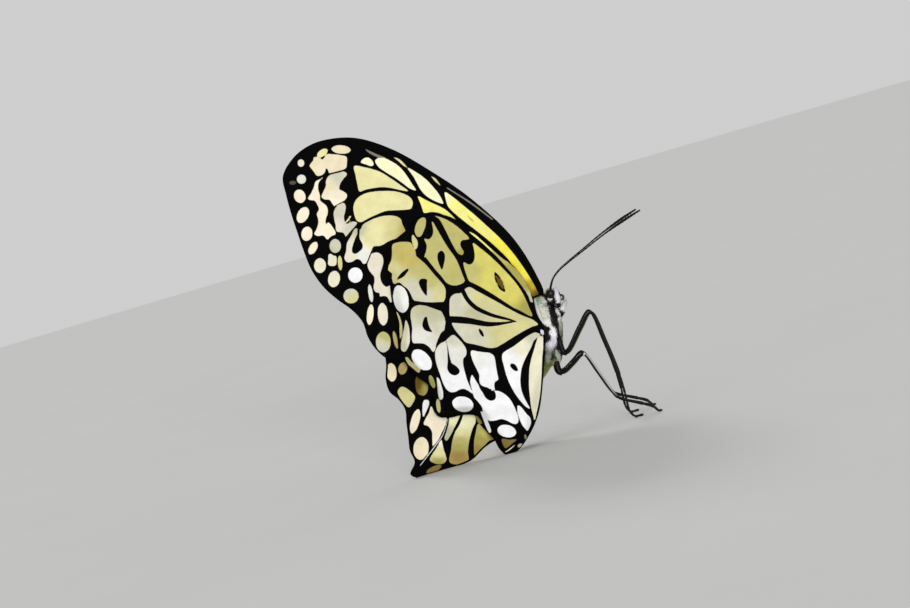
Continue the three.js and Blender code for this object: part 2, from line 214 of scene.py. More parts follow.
def paint(made, name, values):
    """Stores numbers or colours on a mesh's vertices."""
    values = np.asarray(values, np.float32)
    if values.ndim == 1:
        made.data.attributes.new(name, "FLOAT", "POINT").data.foreach_set("value", values)
    else:
        rgba = np.hstack([values, np.ones((len(values), 1), np.float32)])
        made.data.attributes.new(name, "FLOAT_COLOR", "POINT").data.foreach_set("color", rgba.ravel())


# ---------------------------------------------------------------- node helpers


class Nodes:
    """A material's node tree, with one short call for each kind of node."""

    def __init__(self, name, **surface):
        self.material = bpy.data.materials.new(name)
        self.material.use_nodes = True
        self.tree = self.material.node_tree
        self.shader = self.tree.nodes["Principled BSDF"]
        for socket, value in surface.items():
            self.shader.inputs[socket.replace("_", " ")].default_value = value

    def make(self, kind, **settings):
        node = self.tree.nodes.new(kind)
        for name, value in settings.items():
            setattr(node, name, value)
        return node

    def link(self, source, target):
        if isinstance(source, (int, float)):
            target.default_value = source
        elif isinstance(source, (tuple, np.ndarray)):
            target.default_value = (*source, 1) if len(target.default_value) == 4 else tuple(source)
        else:
            self.tree.links.new(source, target)

    def value(self, name):
        return self.make("ShaderNodeAttribute", attribute_name=name).outputs["Fac"]

    def colour(self, name):
        return self.make("ShaderNodeAttribute", attribute_name=name).outputs["Color"]

    def tinted(self, factor):
        """The tint stored on the mesh, times a factor."""
        return self.mix(1.0, self.colour("tint"), factor, "MULTIPLY")

    def place(self):
        return self.make("ShaderNodeTexCoord").outputs["Object"]

    def noise(self, per_mm, detail=2, stretch=(1, 1, 1)):
        """Soft noise from 0 to 1, with about `per_mm` lumps to a millimetre."""
        scaled = self.make("ShaderNodeMapping")
        self.link(self.place(), scaled.inputs["Vector"])
        scaled.inputs["Scale"].default_value = [per_mm / MM * share for share in stretch]
        scaled.inputs["Rotation"].default_value = (0, -PITCH, 0)
        node = self.make("ShaderNodeTexNoise")
        node.inputs["Scale"].default_value = 1
        node.inputs["Detail"].default_value = detail
        self.link(scaled.outputs["Vector"], node.inputs["Vector"])
        return node.outputs["Fac"]

    def math(self, operation, a, b=0.0, c=0.0):
        node = self.make("ShaderNodeMath", operation=operation)
        for socket, source in zip(node.inputs, (a, b, c)):
            self.link(source, socket)
        return node.outputs["Value"]

    def ramp(self, source, low, high, to_low=0.0, to_high=1.0):
        node = self.make("ShaderNodeMapRange", interpolation_type="SMOOTHSTEP")
        for name, number in (("From Min", low), ("From Max", high), ("To Min", to_low), ("To Max", to_high)):
            node.inputs[name].default_value = number
        self.link(source, node.inputs["Value"])
        return node.outputs["Result"]

    def mix(self, share, a, b, kind="MIX"):
        node = self.make("ShaderNodeMix", data_type="RGBA", blend_type=kind)
        self.link(share, node.inputs["Factor"])
        self.link(a, node.inputs["A"])
        self.link(b, node.inputs["B"])
        return next(out for out in node.outputs if out.type == "RGBA")

    def surface(self, colour=None, roughness=None, height=None, strength=0.3, depth=0.05):
        """Drives the shader by nodes. `depth` is the bump's height in millimetres."""
        if colour is not None:
            self.link(colour, self.shader.inputs["Base Color"])
        if roughness is not None:
            self.link(roughness, self.shader.inputs["Roughness"])
        if height is not None:
            bump = self.make("ShaderNodeBump")
            bump.inputs["Strength"].default_value = strength
            bump.inputs["Distance"].default_value = depth * MM
            self.link(height, bump.inputs["Height"])
            self.link(bump.outputs["Normal"], self.shader.inputs["Normal"])
        return self.material


# ---------------------------------------------------------------- wing shapes, as in part.mjs

FORE_OUTLINE = [
    [1.2, 2.7], [2.8, 7.1], [8.2, 15.6], [17.5, 24.3], [26, 30.2], [35.9, 35.8], [43.9, 38.3], [50.1, 38.1],
    [54.6, 36.7], [58.4, 33.8], [60.8, 29.5], [60.1, 25.4], [58.9, 20.9], [57.5, 16.6], [56, 12.2],
    [54.2, 7.9], [51.5, 4.1], [48.4, 1.3], [45, -1.2], [42.6, -4], [41.4, -7.4], [39.2, -10.6],
    [36.2, -12.6], [27, -11.3], [12, -7.6], [1.6, -4.2], [2.4, -1.8], [3.3, 1.7],
]  # fmt: skip
NEAR_HIND_OUTLINE = [
    [1.2, -4.6], [2.6, -2], [3.7, 2], [6.9, 7.8], [12.8, 13.2], [18, 17.5], [23.4, 20.6], [28.4, 20.7],
    [32.4, 17.4], [36, 14], [37.1, 10], [36.4, 5], [35.8, 0.5], [34.4, -4], [34.5, -9], [33, -13],
    [30.2, -16.4], [27.4, -18.6], [26.4, -22], [25.6, -25.2], [23, -25.9], [19.3, -25.2], [16.2, -25.6],
    [14.4, -28.6], [12.4, -30.9], [11.2, -33], [9.6, -34.3], [7.3, -33.5], [4.3, -29.4], [2.9, -26.5],
    [1.9, -23], [0.9, -11], [0.8, -7],
]  # fmt: skip
FAR_HIND_OUTLINE = [
    [1.3, -4.6], [3.6, 1.5], [6.9, 6.8], [12.8, 11.6], [19, 15.2], [25, 16.4], [30.5, 14], [34.6, 8.5],
    [37.2, 1.5], [38.2, -6], [37.3, -14], [37.4, -17.2], [36.5, -20.2], [34.4, -22.1], [32.9, -24.4],
    [32.6, -27.6], [32.2, -30.8], [31.8, -34], [30.7, -36.6], [31.7, -39.4], [29.9, -40.3], [27.5, -39.6],
    [22.7, -38.2], [17.7, -36.2], [14.3, -33], [11.6, -31.4], [8.6, -31], [6, -31.4], [4.3, -29.2],
    [2.2, -22], [1.1, -12],
]  # fmt: skip

HIND_ROOT = (1, -5)  # the hinge of a hindwing
ABDOMEN_LINE = np.array([[0.1, -12.6], [2.3, -16], [4.1, -19.6], [5.6, -24.4], [6.7, -29.4]])

# How far a wing stands from the plane of symmetry.
FORE_REST = 0.5  # a closed forewing
LAYER_STEP = 0.85  # from a forewing to its hindwing
ROOT_SPREAD = 2.35  # more at the roots, which the thorax holds apart
ROOT_LENGTH = 6
FORE_TIP = dict(rise=1.0, start=38, end=68)  # a forewing's outer part curves away from its fellow
TUCK = dict(depth=0.75, start=-5, end=-9)  # below its hinge a hindwing lies closer to the body
BULGE = dict(height=1.1, width=2.6, start=-11, end=-15)  # over the abdomen
CUP = dict(depth=5.2, u=21, v=-11, width=19, curl=2.6, start=3, end=16)  # the near hindwing's
CORNER = dict(flare=1.9, u=8.5, v=-34, width=9)  # its inner corner, on which it stands
SPLAY = dict(rise=1.8, start=16, end=48, direction=(0.65, -0.76))  # the far hindwing swings out
PLEATS = dict(height=0.4, start=22, end=42, turns=26)  # and is pleated from its root


def near_root(u):
    return bell(np.maximum(u - 1, 0), ROOT_LENGTH)


def fore_rise(u, v, edge):
    tip = FORE_TIP["rise"] * smooth(FORE_TIP["start"], FORE_TIP["end"], np.hypot(u, v))
    return FORE_REST + ROOT_SPREAD * near_root(u) + tip


def hind_rise(u, v):
    tuck = TUCK["depth"] * smooth(TUCK["start"], TUCK["end"], v)
    over_abdomen = bell(line_distance(np.stack([u, v], 1), ABDOMEN_LINE, 9), BULGE["width"])
    bulge = BULGE["height"] * over_abdomen * smooth(BULGE["start"], BULGE["end"], v)
    return FORE_REST + LAYER_STEP + near_root(u) * (ROOT_SPREAD - tuck) + bulge


def near_hind_rise(u, v, edge):
    out = smooth(CUP["start"], CUP["end"], np.hypot(u - HIND_ROOT[0], v - HIND_ROOT[1]))
    cup = CUP["depth"] * bell(np.hypot(u - CUP["u"], v - CUP["v"]), CUP["width"])
    corner = CORNER["flare"] * bell(np.hypot(u - CORNER["u"], v - CORNER["v"]), CORNER["width"])
    return hind_rise(u, v) + cup * out * smooth(0, CUP["curl"], edge) + corner


def far_hind_rise(u, v, edge):
    du, dv = u - HIND_ROOT[0], v - HIND_ROOT[1]
    along = du * SPLAY["direction"][0] + dv * SPLAY["direction"][1]
    splay = SPLAY["rise"] * smooth(SPLAY["start"], SPLAY["end"], along)
    wave = np.cos(PLEATS["turns"] * np.arctan2(dv, du))
    pleat = smooth(PLEATS["start"], PLEATS["end"], np.hypot(du, dv)) * wave
    return hind_rise(u, v) + splay + PLEATS["height"] * pleat


# ---------------------------------------------------------------- wing markings

TINTS = {
    "white": linear(247, 247, 248),
    "pearl": linear(240, 240, 235),
    "milk": linear(228, 227, 218),
    "ash": linear(210, 208, 186),
    "stone": linear(194, 192, 158),
    "bone": linear(237, 232, 205),
    "shell": linear(249, 238, 212),
    "sand": linear(240, 227, 194),
    "rose": linear(234, 225, 206),
    "cream": linear(235, 228, 170),
    "lemon": linear(252, 250, 205),
    "primrose": linear(247, 242, 140),
    "yolk": linear(249, 237, 86),
    "amber": linear(196, 172, 52),
    "straw": linear(216, 209, 148),
    "sage": linear(192, 186, 116),
    "butter": linear(219, 210, 108),
    "khaki": linear(172, 163, 88),
    "ochre": linear(196, 180, 102),
    "tan": linear(188, 166, 106),
    "umber": linear(136, 117, 64),
    "fawn": linear(160, 134, 74),
    "brown": linear(106, 80, 26),
    "grey": linear(130, 127, 115),
    "smoke": linear(84, 77, 71),
    "lilac": linear(226, 222, 234),
    "moss": linear(183, 193, 176),
    "olive": linear(116, 120, 66),
}


OVAL_POINTS = 8


def oval(u, v, half_width, half_height, tilt=0):
    """Points round an oval. A tilt turns its upper end towards the wing's outer edge, in degrees."""
    cos, sin = math.cos(math.radians(tilt)), math.sin(math.radians(tilt))
    points = []
    for step in range(OVAL_POINTS):
        angle = math.tau * step / OVAL_POINTS
        a, b = half_width * math.cos(angle), half_height * math.sin(angle)
        points.append([u + a * cos + b * sin, v - a * sin + b * cos])
    return points


# A pale patch is (tint, outline). In place of one tint it may have several, each with a place [u, v],
# and then its colour turns from one to the next. Everything else on a wing is black.
HIND_CELLS = [
    ([("khaki", 4.4, -1.4), ("butter", 9, 3), ("butter", 13, 6), ("butter", 15.4, 12), ("sage", 18, 8)], [
        [3.6, -2.6], [6.4, -1.3], [9.4, 0.1], [12, 1.4], [14.6, 2.9], [16.7, 4.2], [18.2, 5.6], [19, 7.6],
        [19.4, 9.8], [18.3, 9.3], [17.4, 9.6], [16.9, 10.8], [17, 12.6], [17.3, 14.2], [15.6, 13],
        [13.2, 11], [10.4, 8.3], [7.6, 5.2], [5.6, 2.2], [4.4, -0.4]]),
    ([("stone", 4.1, 1.6), ("khaki", 5.4, 4.4), ("khaki", 7.6, 7.7), ("ochre", 11.6, 11.6),
      ("primrose", 14, 13.6), ("primrose", 16.6, 15.8)], [
        [18.2, 16.8], [15.6, 14.6], [13.4, 12.6], [11.2, 10.4], [8.6, 7.4], [6.4, 4.8], [4.6, 2.2],
        [3.8, 0.6], [2.6, 1.6], [3.6, 4.6], [5.6, 7.6], [7.6, 9.4], [9.8, 10.2], [12.4, 12.3], [15, 14.6],
        [17, 16.3]]),
    ([("khaki", 19.9, 11.6), ("sage", 21.2, 14), ("sage", 22.6, 17.6)], [
        [26.1, 20.5], [24.9, 20.2], [23.2, 19.5], [21.2, 18.2], [19.6, 16.8], [18.2, 15.2], [19.9, 14.8],
        [20.2, 13.8], [19.8, 12.9], [19.4, 12.2], [19.7, 11.5], [20.6, 11.8], [21.8, 13.6], [23, 16],
        [24.2, 18.4], [25.1, 19.8]]),
    ([("sage", 26.4, 17), ("sage", 25, 13), ("sage", 27, 12), ("sage", 21, 6)], [
        [26.7, 19.1], [25.6, 18.2], [24.4, 16.6], [23, 14.2], [21.8, 11.8], [20.6, 9.4], [19.7, 7.4],
        [19.1, 6], [19.4, 5.2], [20.6, 4.6], [22, 4.5], [23.3, 5.1], [24.6, 6.7], [26.4, 8.7], [27.8, 10.2],
        [28.4, 11], [28, 12.5], [27.9, 13.8], [28.4, 15.2], [27.4, 15.1], [26.7, 15.8], [26.4, 16.8],
        [26.5, 17.9]]),
    ([("ochre", 33.6, 11), ("ochre", 31, 10.4), ("straw", 35.6, 8.6), ("sage", 29, 8), ("ash", 31, 3.6),
     ("ash", 28, 2), ("straw", 24.8, 2.2), ("sage", 26.8, 5.6)], [
        [35.7, 13.9], [34.4, 14.4], [33, 14.5], [31.6, 14.3], [31, 13.4], [30.5, 12.4], [30.3, 11.3],
        [29.3, 10.4], [28, 9.2], [26.6, 7.5], [25.2, 5.9], [24, 4.5], [23.5, 3], [23.7, 1.4], [24.4, 0.35],
        [25.4, 0.4], [27, 0.6], [28.8, 0.7], [30.3, 0.8], [31, 1.3], [31.5, 2.4], [32.2, 3.6], [33.3, 4.5],
        [34.2, 5.2], [35.3, 4.9], [35.8, 6.2], [35.8, 7.3], [36.7, 8], [36.6, 9], [36, 10.2],
        [35.8, 11.8]]),
    ([("stone", 28, -1), ("stone", 25, -2.4), ("ash", 24.4, -5), ("milk", 28.6, -7.6)], [
        [30.2, -0.15], [28.6, -0.1], [27.2, -0.5], [25.6, -1.1], [24.6, -1.5], [23.9, -2.7], [23.3, -4.3],
        [23.4, -5.4], [24.5, -6.3], [25.2, -7.6], [25.7, -9], [26, -10.4], [26.4, -10.8], [27.3, -9.7],
        [28.5, -8.9], [29.8, -8.8], [31, -8.7], [31.3, -7.4], [31.2, -5.6], [31.4, -3.8], [31.6, -2.3],
        [31.3, -0.9]]),
    ([("straw", 8, -2), ("straw", 10, -7), ("straw", 15, 1), ("ash", 21, 1), ("stone", 17, -2),
      ("ash", 21, -5), ("ash", 17.4, -8)], [
        [18.2, 4.1], [16.4, 3.2], [13.6, 1.7], [10.6, 0.1], [7.4, -1.5], [4.6, -2.8], [2.9, -3.8],
        [2.3, -4.5], [3.6, -5], [5.6, -6], [8, -7.4], [10.4, -8.9], [12.1, -9.8], [13.6, -9.9],
        [15.6, -9.4], [17.2, -9], [18.9, -8.6], [20, -7.4], [21.2, -6], [21.9, -4.8], [22.5, -3],
        [22.9, -1.4], [22.8, 0.4], [22.2, 2], [21.2, 2.6], [20.2, 2.7], [19.4, 3.4]]),
    ([("ash", 21.6, -7.6), ("milk", 22, -11), ("white", 21, -18)], [
        [21.8, -6.9], [20.6, -7.8], [19.4, -9.2], [18.8, -10.4], [18.9, -11.6], [19.5, -12.4],
        [19.5, -13.9], [19.1, -15.6], [18.5, -17.6], [17.8, -19.2], [17.3, -20.4], [18.4, -19.7],
        [19.4, -19.3], [20.4, -19.5], [21.4, -20], [22.5, -20], [23.4, -19.3], [24.1, -18], [24.8, -16],
        [25.5, -14], [25.9, -12.2], [25.9, -10.8], [25.4, -9.6], [24.6, -8.8], [23.6, -8.3], [22.9, -7.6]]),
    ([("pearl", 15, -12), ("white", 13.6, -16)], [
        [17.6, -10.5], [16.2, -10.7], [14.8, -10.9], [13.4, -11.1], [12.5, -11.8], [12.2, -12.8],
        [12, -14.2], [11.7, -15.8], [11.5, -17.2], [12.2, -17.7], [12.4, -18.6], [12.3, -19.6],
        [13.3, -19.3], [14.4, -18.9], [15.5, -18.3], [15.8, -17.4], [15.8, -16.2], [16.3, -15], [17, -13.6],
        [17.5, -12.3], [17.8, -11]]),
    ("white", [
        [17.5, -16.1], [17.9, -17.6], [17.5, -19.4], [17, -21.2], [16, -22.4], [15.2, -23.5], [14.7, -25],
        [14, -26.2], [13.2, -26.7], [12, -26.6], [10.8, -26.3], [9.6, -26.6], [8.4, -27.2], [7.3, -27.5],
        [6.8, -27], [6.8, -25.9], [7.2, -24.6], [8, -22.9], [9, -21.4], [10.2, -20.4], [11.2, -19.9],
        [12.2, -19.7], [14, -19.4], [15.6, -18.8], [16.4, -17.8], [17, -16.8]]),
    ([("ash", 3, -7), ("bone", 6, -9.4), ("white", 9, -13), ("white", 7.4, -17)], [
        [10.5, -11.3], [9.6, -10.5], [8, -9.6], [6.4, -8.4], [4.6, -7.1], [2.8, -6.3], [1.8, -6.8],
        [2.5, -7.5], [3.2, -8.2], [3.8, -9.6], [4.5, -11], [5.3, -12.6], [6, -14.4], [6.3, -16.4],
        [6.3, -18.2], [6, -19.8], [5.4, -21.4], [4.7, -22.8], [4.2, -23.9], [5, -23.5], [6.2, -22.2],
        [7.4, -20.6], [8.6, -18.6], [9.6, -16.2], [10.2, -14], [10.6, -12.4]]),
    ("bone", [
        [1.3, -7.2], [2.2, -7.4], [2.7, -8.6], [3.2, -10.4], [3.8, -12.4], [4.2, -14.6], [4.3, -17],
        [4.3, -19], [4.1, -21.4], [3.9, -23.6], [3.5, -25.4], [3.1, -26.6], [2.7, -25], [2.2, -22.6],
        [1.8, -20], [1.5, -16], [1.3, -12], [1.1, -9.4]]),
    ("white", [
        [6.9, -23.2], [6.3, -23.4], [5.6, -24.2], [4.9, -25.2], [4.2, -26], [4, -27.2], [4.4, -28.4],
        [4.8, -29], [5.4, -28.4], [6, -27.5], [6.5, -26.2], [6.9, -24.6]]),
]  # fmt: skip

# The row of spots along a hindwing's outer edge.
HIND_MARGIN = [
    ("pearl", oval(33.8, 1.4, 1.7, 3.2, 12)),
    ("white", oval(29, -12.6, 1.75, 2.85, 42)),
    ("bone", [[32.6, -3.4], [32, -4.8], [31.8, -6.6], [31.8, -8.4], [32.2, -9.9], [32.8, -10.7],
              [33.6, -10.4],
              [33.7, -9], [33.3, -7], [32.9, -5]]),
    # painted shade: an edge spot painted straw instead of white, for the shade where the hindwing's edge
    # curls away
    ("straw", [[35, -1.5], [34.5, -1.8], [33.8, -3.2], [33.4, -5], [33.5, -7], [33.9, -7.8], [34.1, -6],
               [34.3, -4]]),
    ("pearl", [[25.6, -16.6], [25.1, -17], [24.5, -18.6], [24.1, -20.4], [24.2, -21.6], [24.7, -21.8],
               [25.1, -20.8], [25.3, -19], [25.5, -17.4]]),
    # painted shade: an edge spot painted sage, for the shade where the hindwing's edge curls away
    ("sage", oval(26.6, -17.6, 0.55, 1.6, 20)),
    ("white", oval(19.6, -22.8, 2.45, 1.7, -12)),
]  # fmt: skip

# The near hindwing's small patches at its lower and upper ends.
NEAR_HIND_SPOTS = [
    ("white", oval(9.4, -29.1, 2.2, 1.4, -14)),
    ("white", [[15.4, -24.4], [14.9, -26], [14.2, -28], [13.4, -29.5], [13, -29.2], [13.4, -27.6],
               [14.2, -25.8], [15, -24.6]]),
    # painted shade: an edge spot painted straw, for the shade where the near hindwing's edge curls away
    ("straw", [[32.7, -12], [32.2, -13.4], [31, -14.5], [29.6, -15.5], [29.3, -14.8], [30.2, -13.9],
               [31.4, -12.9], [32.2, -12]]),
    # painted shade: an edge spot painted straw, for the shade where the edge curls away
    ("straw", oval(25.1, -23.2, 0.5, 1.6, 6)),
    # painted shade: an umber triangle where the wing's inner corner folds away from the light
    ("umber", [[10.5, -30.9], [8.8, -31.1], [7.2, -31], [8.2, -31.9], [9.7, -33], [10.3, -32]]),
    ("stone", oval(6.4, -32.4, 0.62, 0.45, 20)),
    ("grey", [[5.4, -29.7], [4.9, -30.4], [4.8, -31.2], [5.3, -30.9], [5.5, -30.3]]),
    ("sage", [[28.3, 20], [29.4, 19.9], [30.3, 18.6], [30.6, 16.8], [30, 15.7], [29.3, 15.8], [28.6, 17],
              [28.1, 18.6]]),
    ("straw", [[31.1, 16.2], [30.6, 15.6], [30, 14.6], [30.1, 13.2], [30.6, 12.8], [31, 13.8], [31.3, 15]]),
]  # fmt: skip

# What shows of the far hindwing beyond the near one. Where it lies in shade, it is painted shade: darker,
# browner tints.
FAR_HIND_SPOTS = [
    ("sand", oval(36, -15.5, 1.15, 2.15, 5)),
    ("tan", oval(33.4, -14.6, 1, 1.45, -15)),
    ("straw", [[33.6, -18.8], [31.6, -19.9], [30.6, -21.2], [31.2, -22.8], [32, -23.6], [33.6, -22],
               [34.6, -19.8]]),
    # painted shade: a pale oval painted brown and khaki, for the shade it lies in
    ([("brown", 30, -18.4), ("khaki", 27.8, -19)], [
        [30.2, -16.4], [29.2, -16.6], [28.1, -17.2], [27.6, -18.9], [28, -20.4], [28.8, -20.9],
        [29.9, -20.4], [30.5, -18.6]]),
    ("shell", oval(30.6, -26.8, 0.95, 2.9, -16)),
    ("sand", oval(29.2, -33.1, 1.75, 2.65, -6)),
    ("white", [[28.5, -22], [27.5, -22], [27.4, -23], [28.1, -24.6], [28.7, -25.8], [28.9, -24]]),
    ("shell", [
        [26.9, -23.3], [26.2, -24.6], [25.4, -25.6], [24.4, -26], [23.3, -26], [23.6, -27.6], [24.4, -29.4],
        [25.4, -31.4], [26.4, -33], [26.6, -31.2], [26.7, -29.2], [27.6, -27.9], [28.6, -27.5],
        [28.3, -26.4], [27.4, -24.8]]),
    ([("lemon", 21.4, -26), ("stone", 22.8, -29.6)], [
        [22.4, -24.4], [20.1, -24.4], [20.6, -26.4], [21.4, -28], [22.4, -30], [23.4, -31.3], [23.8, -30.8],
        [23.35, -29.2], [22.8, -27.2]]),
    # painted shade: the tints darken to khaki down the bent lower part
    ([("shell", 24.7, -31.6), ("cream", 25.2, -34), ("khaki", 25.2, -36.4)], [
        [24.6, -30.9], [24.3, -32], [24, -33.4], [23.6, -34.6], [23.4, -35.8], [24, -36.5], [25.4, -36.7],
        [27.2, -35.8], [26.6, -34.4], [25.8, -33.2], [25, -31.8]]),
    # painted shade: cream that darkens through sage and khaki to fawn down the bent lower part
    ([("lemon", 19, -25.6), ("lemon", 20, -27.6), ("cream", 20.2, -29.4), ("sage", 20.2, -31.2),
      ("khaki", 20.4, -32.8), ("fawn", 20.4, -34.8)], [
        [19.6, -23.6], [17.8, -24], [16.6, -26.6], [17.4, -28.7], [18.1, -31.3], [18.4, -34], [18.3, -35.8],
        [20.4, -36.8], [22.6, -36.3], [22.3, -33.4], [22, -31.2], [21.3, -29.2], [20.3, -27.5],
        [19.5, -25.2]]),
    ("khaki", [[17.1, -24.6], [16.2, -25.2], [15.3, -26.4], [15, -27.3], [15.9, -27.2], [16.5, -26]]),
    # painted shade: khaki and fawn on the bent lower part
    ([("sage", 15.6, -28.4), ("butter", 14.4, -29.2), ("khaki", 12.6, -30.4), ("khaki", 15.6, -31.2),
      ("fawn", 16.2, -33.4)], [
        [16, -27.4], [14.8, -28.5], [13.4, -30], [11.9, -30.8], [13.5, -31.3], [15, -33], [16.7, -35],
        [17, -32], [16.6, -29.5]]),
    ("umber", oval(26.3, -37.9, 1.9, 0.65, 25)),
]  # fmt: skip

